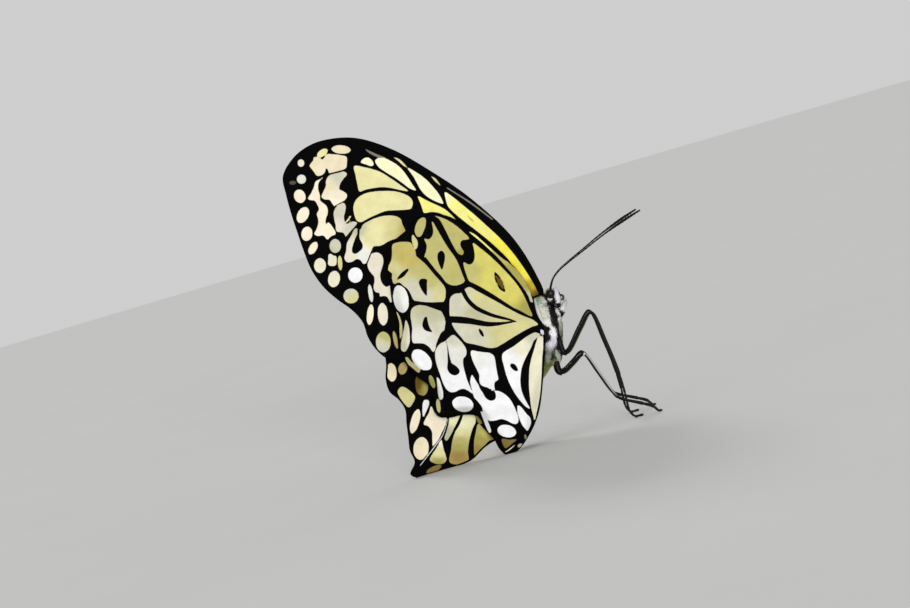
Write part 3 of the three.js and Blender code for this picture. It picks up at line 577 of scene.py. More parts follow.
FORE_CELLS = [
    ([("brown", 2.2, 2.8), ("amber", 3.4, 4.6), ("yolk", 5.2, 7.4), ("yolk", 9, 12), ("primrose", 16, 19),
      ("primrose", 20, 22.2), ("lemon", 24.6, 26.6)], [
        [23.7, 25.9], [22, 24.9], [19.9, 23.2], [17, 20.8], [14, 18.1], [11, 15.3], [8.4, 12.4], [6, 9.2],
        [4, 6.1], [2.7, 3.7], [2.2, 2.5], [3.4, 2], [5, 4], [7.4, 7.6], [8.8, 10.1], [11.4, 12.8],
        [14, 15.1], [16.6, 17.2], [19.2, 19.2], [21.6, 21.2], [23, 22.7], [23.5, 24.2]]),
    ("lemon", [
        [32.3, 31.5], [30, 30.3], [28, 28.8], [26.5, 27.2], [25.2, 25.6], [24.4, 24.2], [24.1, 23.3],
        [25, 23.5], [26.4, 24.1], [28, 25.1], [29.2, 26.4], [30, 27.8], [31, 29.6]]),
    ("straw", [[26.9, 29.6], [25.8, 29], [25.2, 28.2], [24.6, 27.4], [25.5, 28], [26.3, 28.8]]),
    ("cream", [[35.4, 33.9], [34.4, 33.6], [33.2, 32.6], [32.4, 31.6], [33.2, 32], [34.3, 33]]),
    ("grey", [[42, 35.8], [40.6, 35.2], [39, 34.5], [37.4, 33.8], [38.6, 33.8], [40, 34.3], [41.2, 35]]),
    ("lemon", [
        [39.7, 33.2], [38.3, 33.9], [36.2, 33.1], [34.1, 31.7], [32.4, 29.6], [31.2, 27.7], [30.4, 26.4],
        [31.6, 26.7], [33.4, 28], [35.4, 29.4], [37.4, 30.6], [39, 31.8]]),
    ("lemon", [[43, 32.8], [42.2, 33.7], [41.2, 33.8], [40.3, 33], [40.1, 32.2], [40.6, 31.9], [41.8, 32.3]]),
    ("cream", [
        [44.5, 31.9], [42, 31.6], [40, 31.1], [38.4, 30.5], [36, 29], [34, 27.6], [32.2, 26.2],
        [33.8, 26.4], [36, 26.9], [38, 27.1], [40, 26.9], [42, 26.5], [43.3, 26.1], [43.8, 27.8],
        [44.2, 29.8]]),
    ("cream", [
        [44.7, 22.6], [44.2, 24], [43.2, 25], [41.8, 25.7], [39.6, 26.1], [37.4, 26.2], [35.2, 26.1],
        [33, 25.5], [31.6, 24.6], [31.1, 23.5], [31.5, 22.2], [33, 21.9], [35.2, 21.8], [37.4, 21.6],
        [39.2, 20.9], [41.2, 20], [43, 19.1], [43.9, 19.4], [44.5, 20.8]]),
    ([("ochre", 33.2, 17.2), ("straw", 35.6, 17.6), ("cream", 39, 18), ("cream", 40.6, 15),
      ("pearl", 42.8, 11.8), ("rose", 45.4, 11.4), ("stone", 43.6, 18)], [
        [43.1, 17.4], [42.6, 18.4], [41.2, 19.3], [39.6, 20], [37.6, 20.5], [35.4, 20.5], [33.9, 19.8],
        [33.5, 18.6], [32.8, 17], [33, 16.1], [34.4, 15.5], [36.4, 14.8], [38.4, 13.7], [40.2, 13.4],
        [40.3, 12.4], [41, 11], [41.6, 9.8], [42.4, 9.5], [43.2, 10.4], [44, 10.6], [45, 10], [46.2, 9.9],
        [46.8, 10.8], [46.4, 12.4], [46.2, 14.2], [45.2, 16], [44.3, 17.6]]),
    ("primrose", [
        [29.9, 25], [28.4, 24.3], [26.8, 23.5], [25.2, 22.8], [23.6, 21.9], [22.2, 20.7], [21.1, 19.3],
        [22.4, 19.7], [23.8, 20.6], [25.2, 21.2], [26.8, 21.4], [28.5, 21.2], [28.9, 22.2], [29.4, 23.6]]),
    ("sand", [
        [54.7, 32], [53.9, 33.2], [53.7, 33.9], [52.6, 33.9], [51.8, 33.4], [51.3, 33.9], [50.8, 34.6],
        [49.4, 34.6], [47.6, 34.4], [46.3, 34], [46.2, 32.6], [46.4, 31.5], [47.6, 30.9], [49.2, 30.3],
        [50.2, 30.3], [50.6, 31.2], [51, 31.4], [51.2, 30.6], [52, 29.8], [53, 29.7], [53.6, 30.4],
        [54.2, 31.2]]),
    ([("ash", 48.4, 29.4), ("sand", 50.2, 27.4), ("shell", 49, 25)], [
        [47.6, 30.7], [46.5, 30.5], [46.2, 30], [47, 29], [47.8, 27.7], [47.9, 26.6], [47, 26.1],
        [46.2, 25.4], [46.4, 24.5], [47.6, 23.4], [49, 22.7], [49.6, 23.4], [50.2, 24.2], [51.4, 24.3],
        [52, 24.9], [51.6, 26], [51, 27.4], [51, 28.4], [50.4, 29.6], [49.2, 30.2]]),
    ("shell", [
        [51.6, 29.4], [52.4, 28.9], [53.4, 28.3], [53.7, 27.2], [54.4, 25.7], [55.1, 24.4], [54.4, 24.1],
        [53.6, 24], [53, 23.1], [52.6, 22.1], [53.1, 20.9], [52.8, 19.8], [52.8, 18.6], [53.2, 17.4],
        [53.7, 16.3], [52.8, 15.9], [51.6, 16], [50.7, 15.1], [49.9, 15.8], [48.8, 16.4], [49.3, 17.6],
        [50, 18.6], [50.5, 19], [51, 18.6], [51.1, 19.6], [50.6, 21.2], [50.8, 22.6], [51.6, 23.4],
        [52.3, 24], [52.4, 25.2], [52.8, 26.8], [52.6, 28.2]]),
    ([("ash", 48, 21.5), ("rose", 48.2, 18.6), ("ash", 45.6, 18)], [
        [49.2, 21.4], [48.4, 22.8], [47, 23.5], [46.5, 22.8], [46.6, 21.6], [46.9, 20.2], [46.4, 18.7],
        [44.8, 19.2], [43.9, 18.9], [44.8, 17.6], [45.8, 16], [46.4, 15.7], [47, 16.6], [48, 16.8],
        [48.6, 17], [48.8, 18.4], [49.1, 19.8]]),
    ("rose", [
        [39.6, 12.1], [38.6, 11.8], [38, 11], [37.9, 9.6], [38.3, 8.2], [38.6, 7], [38.4, 5.6], [37.9, 4.7],
        [37.2, 4.2], [36.4, 4.5], [35.6, 4.9], [35.4, 2.6], [35.9, 0.8], [36.2, 0.6], [36.7, 1.5],
        [37.2, 2], [38, 2.1], [38.6, 2], [38.8, 2.8], [39.6, 3], [40.1, 4], [39.9, 5.4], [40, 6.6],
        [40.6, 7.3], [41.3, 8.4], [41.5, 9.8], [41, 11], [40.4, 11.8]]),
    ("sand", oval(47.5, 35.7, 2.2, 0.95, -4)),
    ("cream", oval(51.8, 34.9, 1.4, 0.75, 35)),
    ("rose", oval(56.7, 32.6, 0.75, 0.85)),
    ("milk", oval(56.6, 28.9, 1.05, 1.05)),
    ("smoke", oval(58.6, 28.1, 0.8, 0.45)),
    ("shell", oval(57, 25, 1.3, 1.55, 20)),
    ("shell", oval(56.3, 20.7, 1.25, 1.95, -28)),
    ("shell", oval(55.4, 16.4, 1.25, 1.65, -10)),
    ("shell", oval(54, 13.1, 0.85, 1.6, -30)),
    ("bone", oval(52.4, 9.1, 1.35, 1.7)),
    ("bone", oval(49.2, 6, 1.35, 1.9, -10)),
    ([("straw", 44.8, 0.8), ("ash", 46, 3.2)], oval(45.3, 2.1, 1.75, 1.7)),
    ([("ash", 48.9, 13.9), ("stone", 50, 12.6)], oval(48.9, 13.6, 1.3, 1.6)),
    ("bone", [[50.4, 11.6], [50, 11.8], [49.3, 11.4], [48.7, 11.2], [48.6, 10.2], [48.8, 9.2], [49.8, 9],
               [50.5, 9.3], [50.5, 10.4]]),
    ("straw", oval(47.8, 9.7, 0.5, 1.7, 4)),
    ("white", oval(44.3, 6.9, 1.65, 1.75)),
    ("milk", oval(40.8, 2.7, 0.5, 2.1, 8)),
    ("shell", oval(40.9, -2.2, 0.75, 2.4, -6)),
    ("rose", oval(38, -2.1, 1.15, 2.6, 4)),
    ([("sage", 37.2, -6.8), ("ash", 38.6, -9.6)], oval(37.9, -8.5, 1.7, 2.4)),
    ("tan", oval(35.1, -8, 0.45, 2.1, 12)),
    # The rest lies under the hindwing.
    ([("straw", 9, 2), ("cream", 25, 16)], [
        [26.8, 19.6], [24.6, 18.8], [20, 15.6], [15, 11], [10.4, 6], [7.4, 2.4], [7.6, 1], [9.4, 0.8],
        [14, 2.8], [20, 6.6], [25.4, 11.6], [28, 16]]),
    ("bone", [[30, 11.6], [26, 7.4], [21, 3.6], [14.6, 0.2], [8, -2.4], [15, -3], [23, -1], [30, 3.6],
              [32.4, 8.4]]),
    ("bone", [[33, 4], [26.6, -1.8], [18, -4.6], [8.6, -4.4], [17, -6.8], [26, -8.4], [32, -6.4], [34, -1]]),
]  # fmt: skip

# A dark stroke is a line through [u, v, half width] over the pale patches.
HIND_STROKES = [
    [[7.3, -3.8, 0.1], [9.3, -3.25, 0.28], [12.3, -2.55, 0.4], [14.6, -1.7, 0.46], [16.9, -0.45, 0.5],
     [18.5, 1.2, 0.5], [19.5, 3, 0.5], [20, 4.2, 0.5]],
    [[7.3, -3.8, 0.1], [10, -4.15, 0.3], [12.3, -4.4, 0.48], [14.1, -4.4, 0.58], [16.2, -4.05, 0.66],
     [18, -3.7, 0.72], [20.3, -3.45, 0.8], [23, -3.3, 0.75]],
    [[18.6, 5.1, 0.5], [16.1, 3.9, 0.5], [12.8, 1.95, 0.5], [9.4, -0.15, 0.42], [6.7, -1.7, 0.32],
     [2.8, -3.4, 0.2]],
    [[26.2, 19.5, 0.42], [24.6, 16.8, 0.5], [22.7, 13.6, 0.5], [20.7, 10.6, 0.45], [18.9, 6.1, 0.42]],
    [[28.3, 10.6, 0.4], [25.9, 7.5, 0.4], [23.4, 4.4, 0.42]],
    [[31.7, 0.7, 0.4], [27.6, 0.2, 0.42], [24.2, 0.3, 0.4]],
    [[23, 3.6, 0.5], [23.2, -0.6, 0.52], [23.1, -3.9, 0.5], [23.4, -5.6, 0.4]],
    [[15.8, -5.7, 0.25], [15.4, -6.4, 0.38], [15, -7.1, 0.25]],
    [[34.5, 6, 0.16], [33.5, 6.9, 0.5], [32.3, 8.1, 0.28]],
    [[23.4, -8.3, 0.06], [23.1, -9.8, 0.12], [22.9, -11.6, 0.22], [22.7, -13, 0.4]],
    [[35.9, 1, 0.1], [35.5, 3, 0.12], [35.1, 4.6, 0.1]],
]  # fmt: skip
FAR_HIND_STROKES = [
    [[22.5, -24.6, 0.16], [23.4, -28, 0.2], [24.2, -30, 0.26], [26.1, -32.7, 0.3], [29.4, -37, 0.36]],
    [[27.3, -23, 0.1], [28.2, -25.6, 0.14]],
]
FORE_STROKES = [
    [[43.2, 18.7, 0.25], [43.5, 17.4, 0.28], [43.6, 16, 0.25]],
    [[42.6, 18.9, 0.2], [44.4, 17.8, 0.17], [46.6, 15.3, 0.17]],
    [[53.8, 29.1, 0.2], [50.9, 29.9, 0.2], [48.5, 30.5, 0.2], [45.9, 31.2, 0.2]],
    [[49.3, 22.5, 0.12], [47.9, 23.3, 0.14], [46.3, 24.1, 0.16]],
    [[40.3, 12.9, 0.16], [40.9, 11.4, 0.16], [41.8, 9.2, 0.18]],
]

# Thin lines and small marks of a tint lie over everything else and are drawn the same way.
NEAR_HIND_LINES = [
    ("shell", [[9.7, -33.9, 0.06], [8.7, -33.2, 0.12], [7.7, -32.3, 0.06]]),
    ("brown", [[11.8, 6.4, 0.14], [11.1, 5.2, 0.42], [10.5, 4, 0.2]]),
    ("lilac", [[1.5, -5.9, 0.25], [1.25, -6.3, 0.4], [1.1, -6.7, 0.2]]),
]
FAR_HIND_LINES = [
    # painted highlight: a white line along the ridge where the far hindwing folds against the floor
    ("white", [[23, -26.4, 0.02], [24.2, -30, 0.06], [26.1, -32.7, 0.08], [29.4, -37, 0.05]]),
]
FORE_LINES = [
    ("grey", [[23.2, 26.9, 0.12], [18, 23.6, 0.17], [12.8, 19.7, 0.14]]),
    ("cream", [[46.6, 18.9, 0.1], [46, 19.5, 0.18], [45.4, 20.4, 0.14]]),
    ("khaki", [[18.2, 20.2, 0.2], [17.7, 19.7, 0.3]]),
    ("umber", [[45.8, 20.2, 0.1], [45.5, 19.2, 0.1]]),
]

# Dark spots over the pale patches.
HIND_SPOTS = [
    [[28.3, 6.05], [29.3, 5.95], [29.7, 5.2], [29.5, 4.4], [28.9, 3.2], [27.95, 2.1], [27.8, 3.2],
     [27.85, 4.8], [27.8, 5.8]],
    [[27.9, -2.7], [27.6, -3.9], [27.2, -5.2], [26.6, -6.2], [27.6, -6.1], [28.5, -5.6], [28.9, -4.7],
     [28.7, -3.6], [28.3, -2.8]],
    [[24.6, 12.5], [23.9, 12], [23.7, 11], [23.9, 9.6], [24.4, 8.1], [25, 9.2], [25.4, 10.6], [25.35, 11.8]],
    [[22.8, -12.5], [22.1, -13.4], [21.2, -14], [20.5, -14.7], [20.3, -15.3], [20.8, -16], [21.6, -16.2],
     [22.5, -15.8], [23.1, -14.9], [23.15, -13.6]],
    [[8.6, -13.6], [7.8, -13.6], [7.2, -14.3], [6.9, -15.2], [7.4, -15.3], [8.2, -14.8], [8.75, -14.1]],
    [[16, -18.2], [14.8, -18.8], [13.9, -19], [13.2, -19.6], [12.3, -19.9], [12, -20.7], [12.1, -21.6],
     [12.8, -22.05], [13.7, -21.9], [14.5, -21.2], [15, -20.3], [15.7, -19.2]],
    [[12.3, 7.6], [11.2, 6.6], [10.3, 5], [9.9, 3], [11, 3.5], [11.9, 4.9], [12.3, 6.2]],
]  # fmt: skip
FORE_SPOTS = [
    [[43.6, 16.6], [43.2, 15.1], [42.6, 13.9], [42.7, 13], [43.4, 12.3], [44.2, 11.8], [44.9, 12],
     [45.1, 12.8], [44.8, 14], [44.3, 15.4]],
]  # fmt: skip

# The veins stand up from the membrane, in lines from the root: [u, v].
HIND_VEINS = [
    [[3.35, 0], [5.2, 2.3], [9.3, 7.8], [15.1, 13.2], [20.8, 18.4]],
    [[2.5, -3.5], [6.6, -1.8], [11.1, 0.3], [15.7, 3], [18.7, 5.1], [19.7, 8.4], [22.2, 13.4], [26.2, 20]],
    [[18.7, 5.1], [23, 4.2], [27.1, 8.5], [30.4, 12.4]],
    [[23, 4.2], [23.4, 0], [22.9, -6.2], [20, -8.4], [17.6, -9.9], [11.6, -10.2], [5.4, -6.6], [1.6, -5.2]],
    [[23.4, -0.2], [27.1, 0.3], [31.4, 1.6], [34, 4.6]],
    [[22.9, -6.2], [25.2, -9.2], [26, -12], [24.4, -18.4], [24.6, -23]],
    [[18.3, -10], [18, -14], [18.5, -17.4], [16.9, -21.7], [15.6, -25]],
    [[11.6, -10.2], [10.9, -16], [8.4, -20.6], [6.9, -26], [6.2, -29]],
    [[1.4, -6], [4.5, -12.5], [5.2, -19], [3.8, -27]],
]
FORE_VEINS = [
    [[1.4, 3.4], [6.6, 12.4], [15.4, 21], [25, 28.6], [36, 34.8]],
    [[2.4, 2.2], [10.4, 12.4], [18.4, 18.4], [23.4, 22.6], [30.4, 26.4], [36, 32.8]],
    [[30.4, 26.4], [37, 30.2], [44.6, 32.4], [51, 33.6]],
    [[30.4, 26], [37, 26.7], [44, 25.6], [52.6, 24.6]],
    [[29.8, 24.6], [31.4, 21.6], [38.6, 21], [44.6, 18.4], [52.4, 15.2]],
    [[31, 20], [31.6, 15.6], [38.6, 13.6], [42, 9.2], [47.4, 3.6]],
    [[31.4, 15], [28.6, 10], [36, 0], [40.4, -6]],
    [[2.2, 0.6], [14, 4.4], [28.6, 11.4], [31.4, 16]],
    [[1.8, -2], [14, -3.4], [30, -5.6], [37, -11]],
]

FOREWING = dict(
    outline=FORE_OUTLINE, rise=fore_rise, patches=FORE_CELLS, strokes=FORE_STROKES, lines=FORE_LINES,
    spots=FORE_SPOTS, veins=FORE_VEINS, border=0.35,
)  # fmt: skip
NEAR_HINDWING = dict(
    outline=NEAR_HIND_OUTLINE, rise=near_hind_rise, patches=HIND_CELLS + HIND_MARGIN + NEAR_HIND_SPOTS,
    strokes=HIND_STROKES, lines=NEAR_HIND_LINES, spots=HIND_SPOTS, veins=HIND_VEINS, border=0.25,
)  # fmt: skip
FAR_HINDWING = dict(
    outline=FAR_HIND_OUTLINE, rise=far_hind_rise, patches=HIND_CELLS + HIND_MARGIN + FAR_HIND_SPOTS,
    strokes=HIND_STROKES + FAR_HIND_STROKES, lines=FAR_HIND_LINES, spots=HIND_SPOTS, veins=HIND_VEINS,
    border=0.45,
)  # fmt: skip

# ---------------------------------------------------------------- wing meshes

GRID = 0.26  # between neighbouring vertices of a wing
SKIN = 0.15  # half the wing's thickness, which thins out to nothing at its edge
SKIN_EDGE = 0.9  # over this width
BARE_EDGE = np.array([[4.4, 3.4], [5.6, 5.6], [7, 8]])  # here a pale cell runs to the hindwing's edge
BARE_WIDTH = 1.2
VEIN_HEIGHT = 0.06
VEIN_WIDTH = 0.22
FACE_MAP = 0.48  # a face's share of the map's width
THIN_ROWS = (-2.2, -1.1, 0, 1.1, 2.2)  # rows of vertices along a thin line, in its half widths
THIN_CLEAR = 3.3  # how far the wing's other vertices stay away from it
RIM_CLEAR = 0.55 * GRID  # how far they stay away from the rim
TINT_CORE = 0.3  # square millimetres round a tint's place where it changes little
TINT_FALL = 1.5  # how fast it gives way to the next beyond that


def own_tint(tints, points):
    """A patch's colour, where each of its tints counts for more the nearer its place is."""
    if isinstance(tints, str):
        return np.tile(TINTS[tints], (len(points), 1))
    places = np.array([(u, v) for _, u, v in tints])
    weight = 1 / (TINT_CORE + ((points[:, None] - places) ** 2).sum(2)) ** TINT_FALL
    return weight @ np.array([TINTS[name] for name, _, _ in tints]) / weight.sum(1)[:, None]


def patch_field(points, patches):
    """How deep each point lies in a pale patch, and the tint of the nearest one."""
    depth = np.full(len(points), -REACH)
    tint = np.tile(TINTS["white"], (len(points), 1))
    for tints, outline in patches:
        loop = curve_through(outline, LOOP_STEPS, closed=True)
        near = np.flatnonzero(((points > loop.min(0) - REACH) & (points < loop.max(0) + REACH)).all(1))
        found = inside_distance(points[near], loop)
        better = found > depth[near]
        depth[near[better]] = found[better]
        tint[near[better]] = own_tint(tints, points[near[better]])
    return depth, tint


def evenly(loop, spacing):
    """Points at even steps along a closed line."""
    closed = np.vstack([loop, loop[:1]])
    along = np.concatenate([[0], np.cumsum(np.linalg.norm(np.diff(closed, axis=0), axis=1))])
    places = np.linspace(0, along[-1], int(along[-1] / spacing), endpoint=False)
    return np.stack([np.interp(places, along, closed[:, k]) for k in (0, 1)], 1)


def rows_beside(line):
    """Rows of points along a thin line [u, v, half width], close enough to draw it sharply."""
    line = curve_through(line, THIN_STEPS)
    along = np.gradient(line[:, :2], axis=0)
    across = np.stack([-along[:, 1], along[:, 0]], 1) / np.linalg.norm(along, axis=1)[:, None]
    return np.vstack([line[:, :2] + share * line[:, 2:] * across for share in THIN_ROWS])


def filled(rim, lines):
    """A flat net of triangles inside the rim, whose own points come first. It is finer along thin lines."""
    (u0, v0), (u1, v1) = rim.min(0), rim.max(0)
    u, v = np.meshgrid(np.arange(u0, u1, GRID), np.arange(v0, v1, GRID * math.sqrt(3) / 2))
    u[1::2] += GRID / 2
    inner = np.stack([u.ravel(), v.ravel()], 1)
    for line in lines:
        clear = stroke_depth(inner, line * (1, 1, THIN_CLEAR)) < 0
        inner = np.vstack([inner[clear], rows_beside(line)])
    inner = inner[inside_distance(inner, rim) > RIM_CLEAR]
    flat = np.vstack([rim, inner])
    ring = [(i, (i + 1) % len(rim)) for i in range(len(rim))]
    found = delaunay_2d_cdt([Vector(p) for p in flat.tolist()], ring, [], 1, 1e-7)
    return np.array([tuple(p) for p in found[0]]), np.array(found[2])


def shown_shift(u, v, nearer):
    """How far a place on a wing shows from [u, v] when it is this much nearer to the camera."""
    drop = math.tan(CAMERA_ELEVATION) * nearer
    shift_u = (u + AIM[0]) * nearer / CAMERA_DISTANCE - math.sin(PITCH) * drop
    shift_v = (v - AIM[2]) * nearer / CAMERA_DISTANCE - math.cos(PITCH) * drop
    return np.stack([shift_u, shift_v], 1)


def wing(pair, side_name, material, outline, rise, patches, strokes, lines, spots, veins, border):
    """A closed thin sheet over the outline, whose two faces meet in its edge."""
    name, side = f"wing_{pair}_{side_name}", SIDES[side_name]
    rim = evenly(curve_through(outline, RIM_STEPS, closed=True), GRID)

    def heights(places):
        edge = np.maximum(inside_distance(places, rim), 0)
        return edge, rise(*places.T, edge)

    unshifted = []
    for _, line in lines:
        line = np.array(line)
        line[:, :2] -= shown_shift(*line[:, :2].T, -side * heights(line[:, :2])[1])
        unshifted.append(line)
    flat, triangles = filled(rim, unshifted)
    u, v = flat.T
    edge, middle = heights(flat)
    edge[: len(rim)] = 0
    normal = vertex_normals(np.stack([u, v, middle], 1), triangles)
    normal *= np.sign(normal[:, 2:])

    ridge = np.zeros(len(flat))
    for vein in veins:
        ridge = np.maximum(ridge, bell(line_distance(flat, curve_through(vein, VEIN_STEPS)), VEIN_WIDTH))
    from_edge = smooth(0, SKIN_EDGE, edge)
    thickness = SKIN * from_edge**0.5 + VEIN_HEIGHT * ridge * from_edge

    def face(sign):
        shift = normal * (sign * thickness)[:, None]
        return np.stack([-(u + shift[:, 0]), side * (middle + shift[:, 2]), v + shift[:, 1]], 1)

    inner = np.arange(len(rim), len(flat))
    back_of = np.concatenate([np.arange(len(rim)), inner + len(inner)])
    faces = np.vstack([triangles, back_of[triangles][:, ::-1]])
    if side < 0:
        faces = faces[:, ::-1]
    both = np.concatenate([np.arange(len(flat)), inner])
    vertices = np.vstack([face(1), face(-1)[inner]])
    made = piece(name + "_skin", vertices, faces, material, [name])

    layer = made.data.uv_layers.new(name="OFBake")
    corners = (flat[both] - flat.min(0))[faces.ravel()] * (FACE_MAP / np.ptp(flat, axis=0).max())
    corners[len(faces) // 2 * 3 :, 0] += 0.5  # the two faces lie side by side
    layer.data.foreach_set("uv", corners.astype(np.float32).ravel())

    shown = flat + shown_shift(u, v, -side * middle)
    depth, tint = patch_field(shown, patches)
    for stroke in strokes:
        depth = np.minimum(depth, -stroke_depth(shown, stroke))
    for spot in spots:
        loop = curve_through(spot, LOOP_STEPS, closed=True)
        depth = np.minimum(depth, -inside_distance(shown, loop))
    for own, line in lines:
        found = stroke_depth(shown, line)
        tint[(found > depth) | (found > 0)] = TINTS[own]
        depth = np.maximum(depth, found)
    bordered = 1 - bell(line_distance(shown, BARE_EDGE), BARE_WIDTH)
    depth = np.minimum(depth, edge - border * bordered)
    paint(made, "pale", depth[both])
    paint(made, "tint", tint[both])


def wing_material(name):
    """Black scales, with pale scales where `pale` is above zero, in the colour of `tint`."""
    n = Nodes(name, Roughness=0.7, Specular_IOR_Level=0.02)
    ragged = n.math("MULTIPLY_ADD", n.noise(5, 2), 0.16, -0.08)
    share = n.ramp(n.math("ADD", n.value("pale"), ragged), -0.07, 0.07)
    mottle = n.ramp(n.noise(0.5, 3), 0.3, 0.7, 0.93, 1.03)
    dust = n.ramp(n.noise(9, 1), 0.25, 0.75, 0.95, 1.04)
    pale = n.tinted(n.mix(1.0, mottle, dust, "MULTIPLY"))
    black = n.mix(n.noise(3, 2), (0.0008, 0.0007, 0.001), (0.003, 0.0025, 0.0025))
    colour = n.mix(share, black, pale)
    rows = n.noise(11, 1, (1, 1, 0.6))
    return n.surface(colour, None, rows, strength=0.25, depth=0.03)


fore_material = wing_material("forewing scales")
hind_material = wing_material("hindwing scales")
for side_name in SIDES:
    wing("fore", side_name, fore_material, **FOREWING)
wing("hind", "right", hind_material, **NEAR_HINDWING)
wing("hind", "left", hind_material, **FAR_HINDWING)

# ---------------------------------------------------------------- body shapes

COAT = 0.2  # how deep the skin of the body lies inside the solids
VOXEL = 0.13  # of the skin that closes over the body's parts
SOFTENING = 4  # passes of smoothing over it
THORAX = [  # z, its back's x, its breast's x, half its width
    [2.1, -2.9, -1.9, 0.7], [1.2, -3.6, -1.1, 1.5], [0.2, -3.9, -0.6, 1.95], [-0.35, -3.95, 1.9, 2.1],
    [-1.6, -3.9, 3.0, 2.25], [-4, -3.75, 3.35, 2.3], [-7, -3.4, 3.4, 2.3], [-10, -2.8, 3.35, 2.2],
    [-12.3, -2.0, 3.0, 1.85], [-13.6, -1.1, 2.3, 1.1],
]  # fmt: skip
THORAX_STEPS, THORAX_SIDES = 5, 40
HEAD = dict(centre=(1.1, 0, 2.0), radii=(1.9, 1.5, 1.95))
NECK = dict(centre=(-1.0, 0, 1.3), radii=(1.5, 1.0, 1.3))
KNOB = dict(centre=(-0.5, 2.2, -5.4), radii=(0.9, 0.75, 0.7))  # beside the hinges of the wings
EYE = dict(centre=(0.5, 1.4, 2.65), radii=(1.0, 0.78, 1.12))
ABDOMEN_FRONT = [0.2, 0, -11.4]  # where its middle line begins, inside the thorax
ABDOMEN_RADIUS = 1.75
ABDOMEN_SEGMENTS = 8
ABDOMEN_STEPS, ABDOMEN_SIDES = 20, 32
WAIST = 0.2  # how much slimmer the abdomen begins
TAPER, BLUNTNESS = 0.78, 3.2  # how much slimmer it ends, and how late
GROOVE = 0.05  # between two of its segments
# The soft limbs: [x, y, z, radius] of the left one.
PALP = [
    [2.6, 1.0, -0.05, 0.3], [2.35, 1.15, 0.8, 0.56], [2.05, 1.2, 1.9, 0.68], [1.8, 1.15, 3.0, 0.64],
    [1.65, 1.05, 3.75, 0.42],
]  # fmt: skip
HINGE = [
    [-3.1, 2.0, 1.6, 0.35], [-2.9, 2.3, 0.2, 0.45], [-2.3, 2.4, -1.8, 0.5], [-1.6, 2.45, -3.6, 0.5],
    [-1.1, 2.5, -5.0, 0.55], [-1.0, 2.45, -6.4, 0.5], [-0.9, 2.2, -8.2, 0.4],
]  # fmt: skip
FORELEG = [
    [2.2, 0.9, -3.5, 0.3], [2.9, 1.1, -2.6, 0.35], [3.25, 1.15, -1.5, 0.5], [3.6, 1.1, -0.5, 0.44],
    [3.9, 1.0, 0.4, 0.32], [4.05, 0.95, 0.95, 0.2],
]  # fmt: skip


def circle(count):
    """The cosines and sines of even angles."""
    turn = np.arange(count) * math.tau / count
    return np.cos(turn), np.sin(turn)


def lofted(rings):
    """The vertices and triangles of a closed skin over rings of equal length."""
    rings = np.asarray(rings, float)
    rows, count = rings.shape[:2]
    i = np.arange(count)
    j = (i + 1) % count
    triangles = []
    for row in range(rows - 1):
        a, b, c, d = row * count + i, row * count + j, (row + 1) * count + j, (row + 1) * count + i
        triangles += [np.stack([a, b, c], 1), np.stack([a, c, d], 1)]
    end, first, last = (rows - 1) * count, rows * count, rows * count + 1
    triangles.append(np.stack([j, i, np.full(count, first)], 1))
    triangles.append(np.stack([end + i, end + j, np.full(count, last)], 1))
    vertices = np.vstack([rings.reshape(-1, 3), rings[0].mean(0), rings[-1].mean(0)])
    return vertices, np.vstack(triangles)


def merged(parts):
    """One list of vertices and one of triangles, from several pairs of them."""
    vertices, triangles, count = [], [], 0
    for own_vertices, own_triangles in parts:
        vertices.append(own_vertices)
        triangles.append(np.asarray(own_triangles) + count)
        count += len(own_vertices)
    return np.vstack(vertices), np.vstack(triangles)


def ball(centre, radii, rows=24, around=32, side=1):
    cos, sin = circle(around)
    rings = []
    for row in range(1, rows):
        angle = math.pi * row / rows
        height = np.full(around, math.cos(angle))
        rings.append(np.column_stack([cos * math.sin(angle), -sin * math.sin(angle), height]))
    return lofted(np.array(rings) * radii + np.array(centre) * (1, side, 1))


def frames_along(line):
    """The direction of a line at each of its points, and two directions across it that don't twist."""
    along = np.gradient(line, axis=0)
    along /= np.linalg.norm(along, axis=1)[:, None]
    across = np.empty_like(along)
    across[0] = np.cross(along[0], [0, 1, 0.001])
    for k in range(1, len(line)):
        across[k] = across[k - 1] - along[k] * (along[k] @ across[k - 1])
    across /= np.linalg.norm(across, axis=1)[:, None]
    return along, across, np.cross(along, across)


def tube(line, radii, sides, flatness=1.0):
    """A closed skin round a line of points, with a radius at each."""
    cos, sin = circle(sides)
    _, across, third = frames_along(line)
    rings = [
        place + radius * (np.outer(cos, a) + flatness * np.outer(sin, b))
        for place, radius, a, b in zip(line, radii, across, third)
    ]
    return lofted(rings)


def limb(stations, per=8, sides=12, side=1, shape=None):
    """A round limb through stations [x, y, z, radius].

    `shape` turns shares along the limb into factors of its radius.
    """
    line = curve_through(np.array(stations) * (1, side, 1, 1), per)
    radii = line[:, 3]
    if shape is not None:
        radii = radii * shape(np.linspace(0, 1, len(line)))
    return tube(line[:, :3], radii, sides)


def thorax():
    cos, sin = circle(THORAX_SIDES)
    rings = []
    for z, back, breast, half_width in curve_through(THORAX, THORAX_STEPS):
        middle, half = (back + breast) / 2, max((breast - back) / 2 - COAT, 0.1)
        rings.append(np.stack([middle + half * cos, (half_width - COAT) * sin, 0 * cos + z], 1))
    rings[0][:, 2] -= COAT
    rings[-1][:, 2] += COAT
    return lofted(rings)


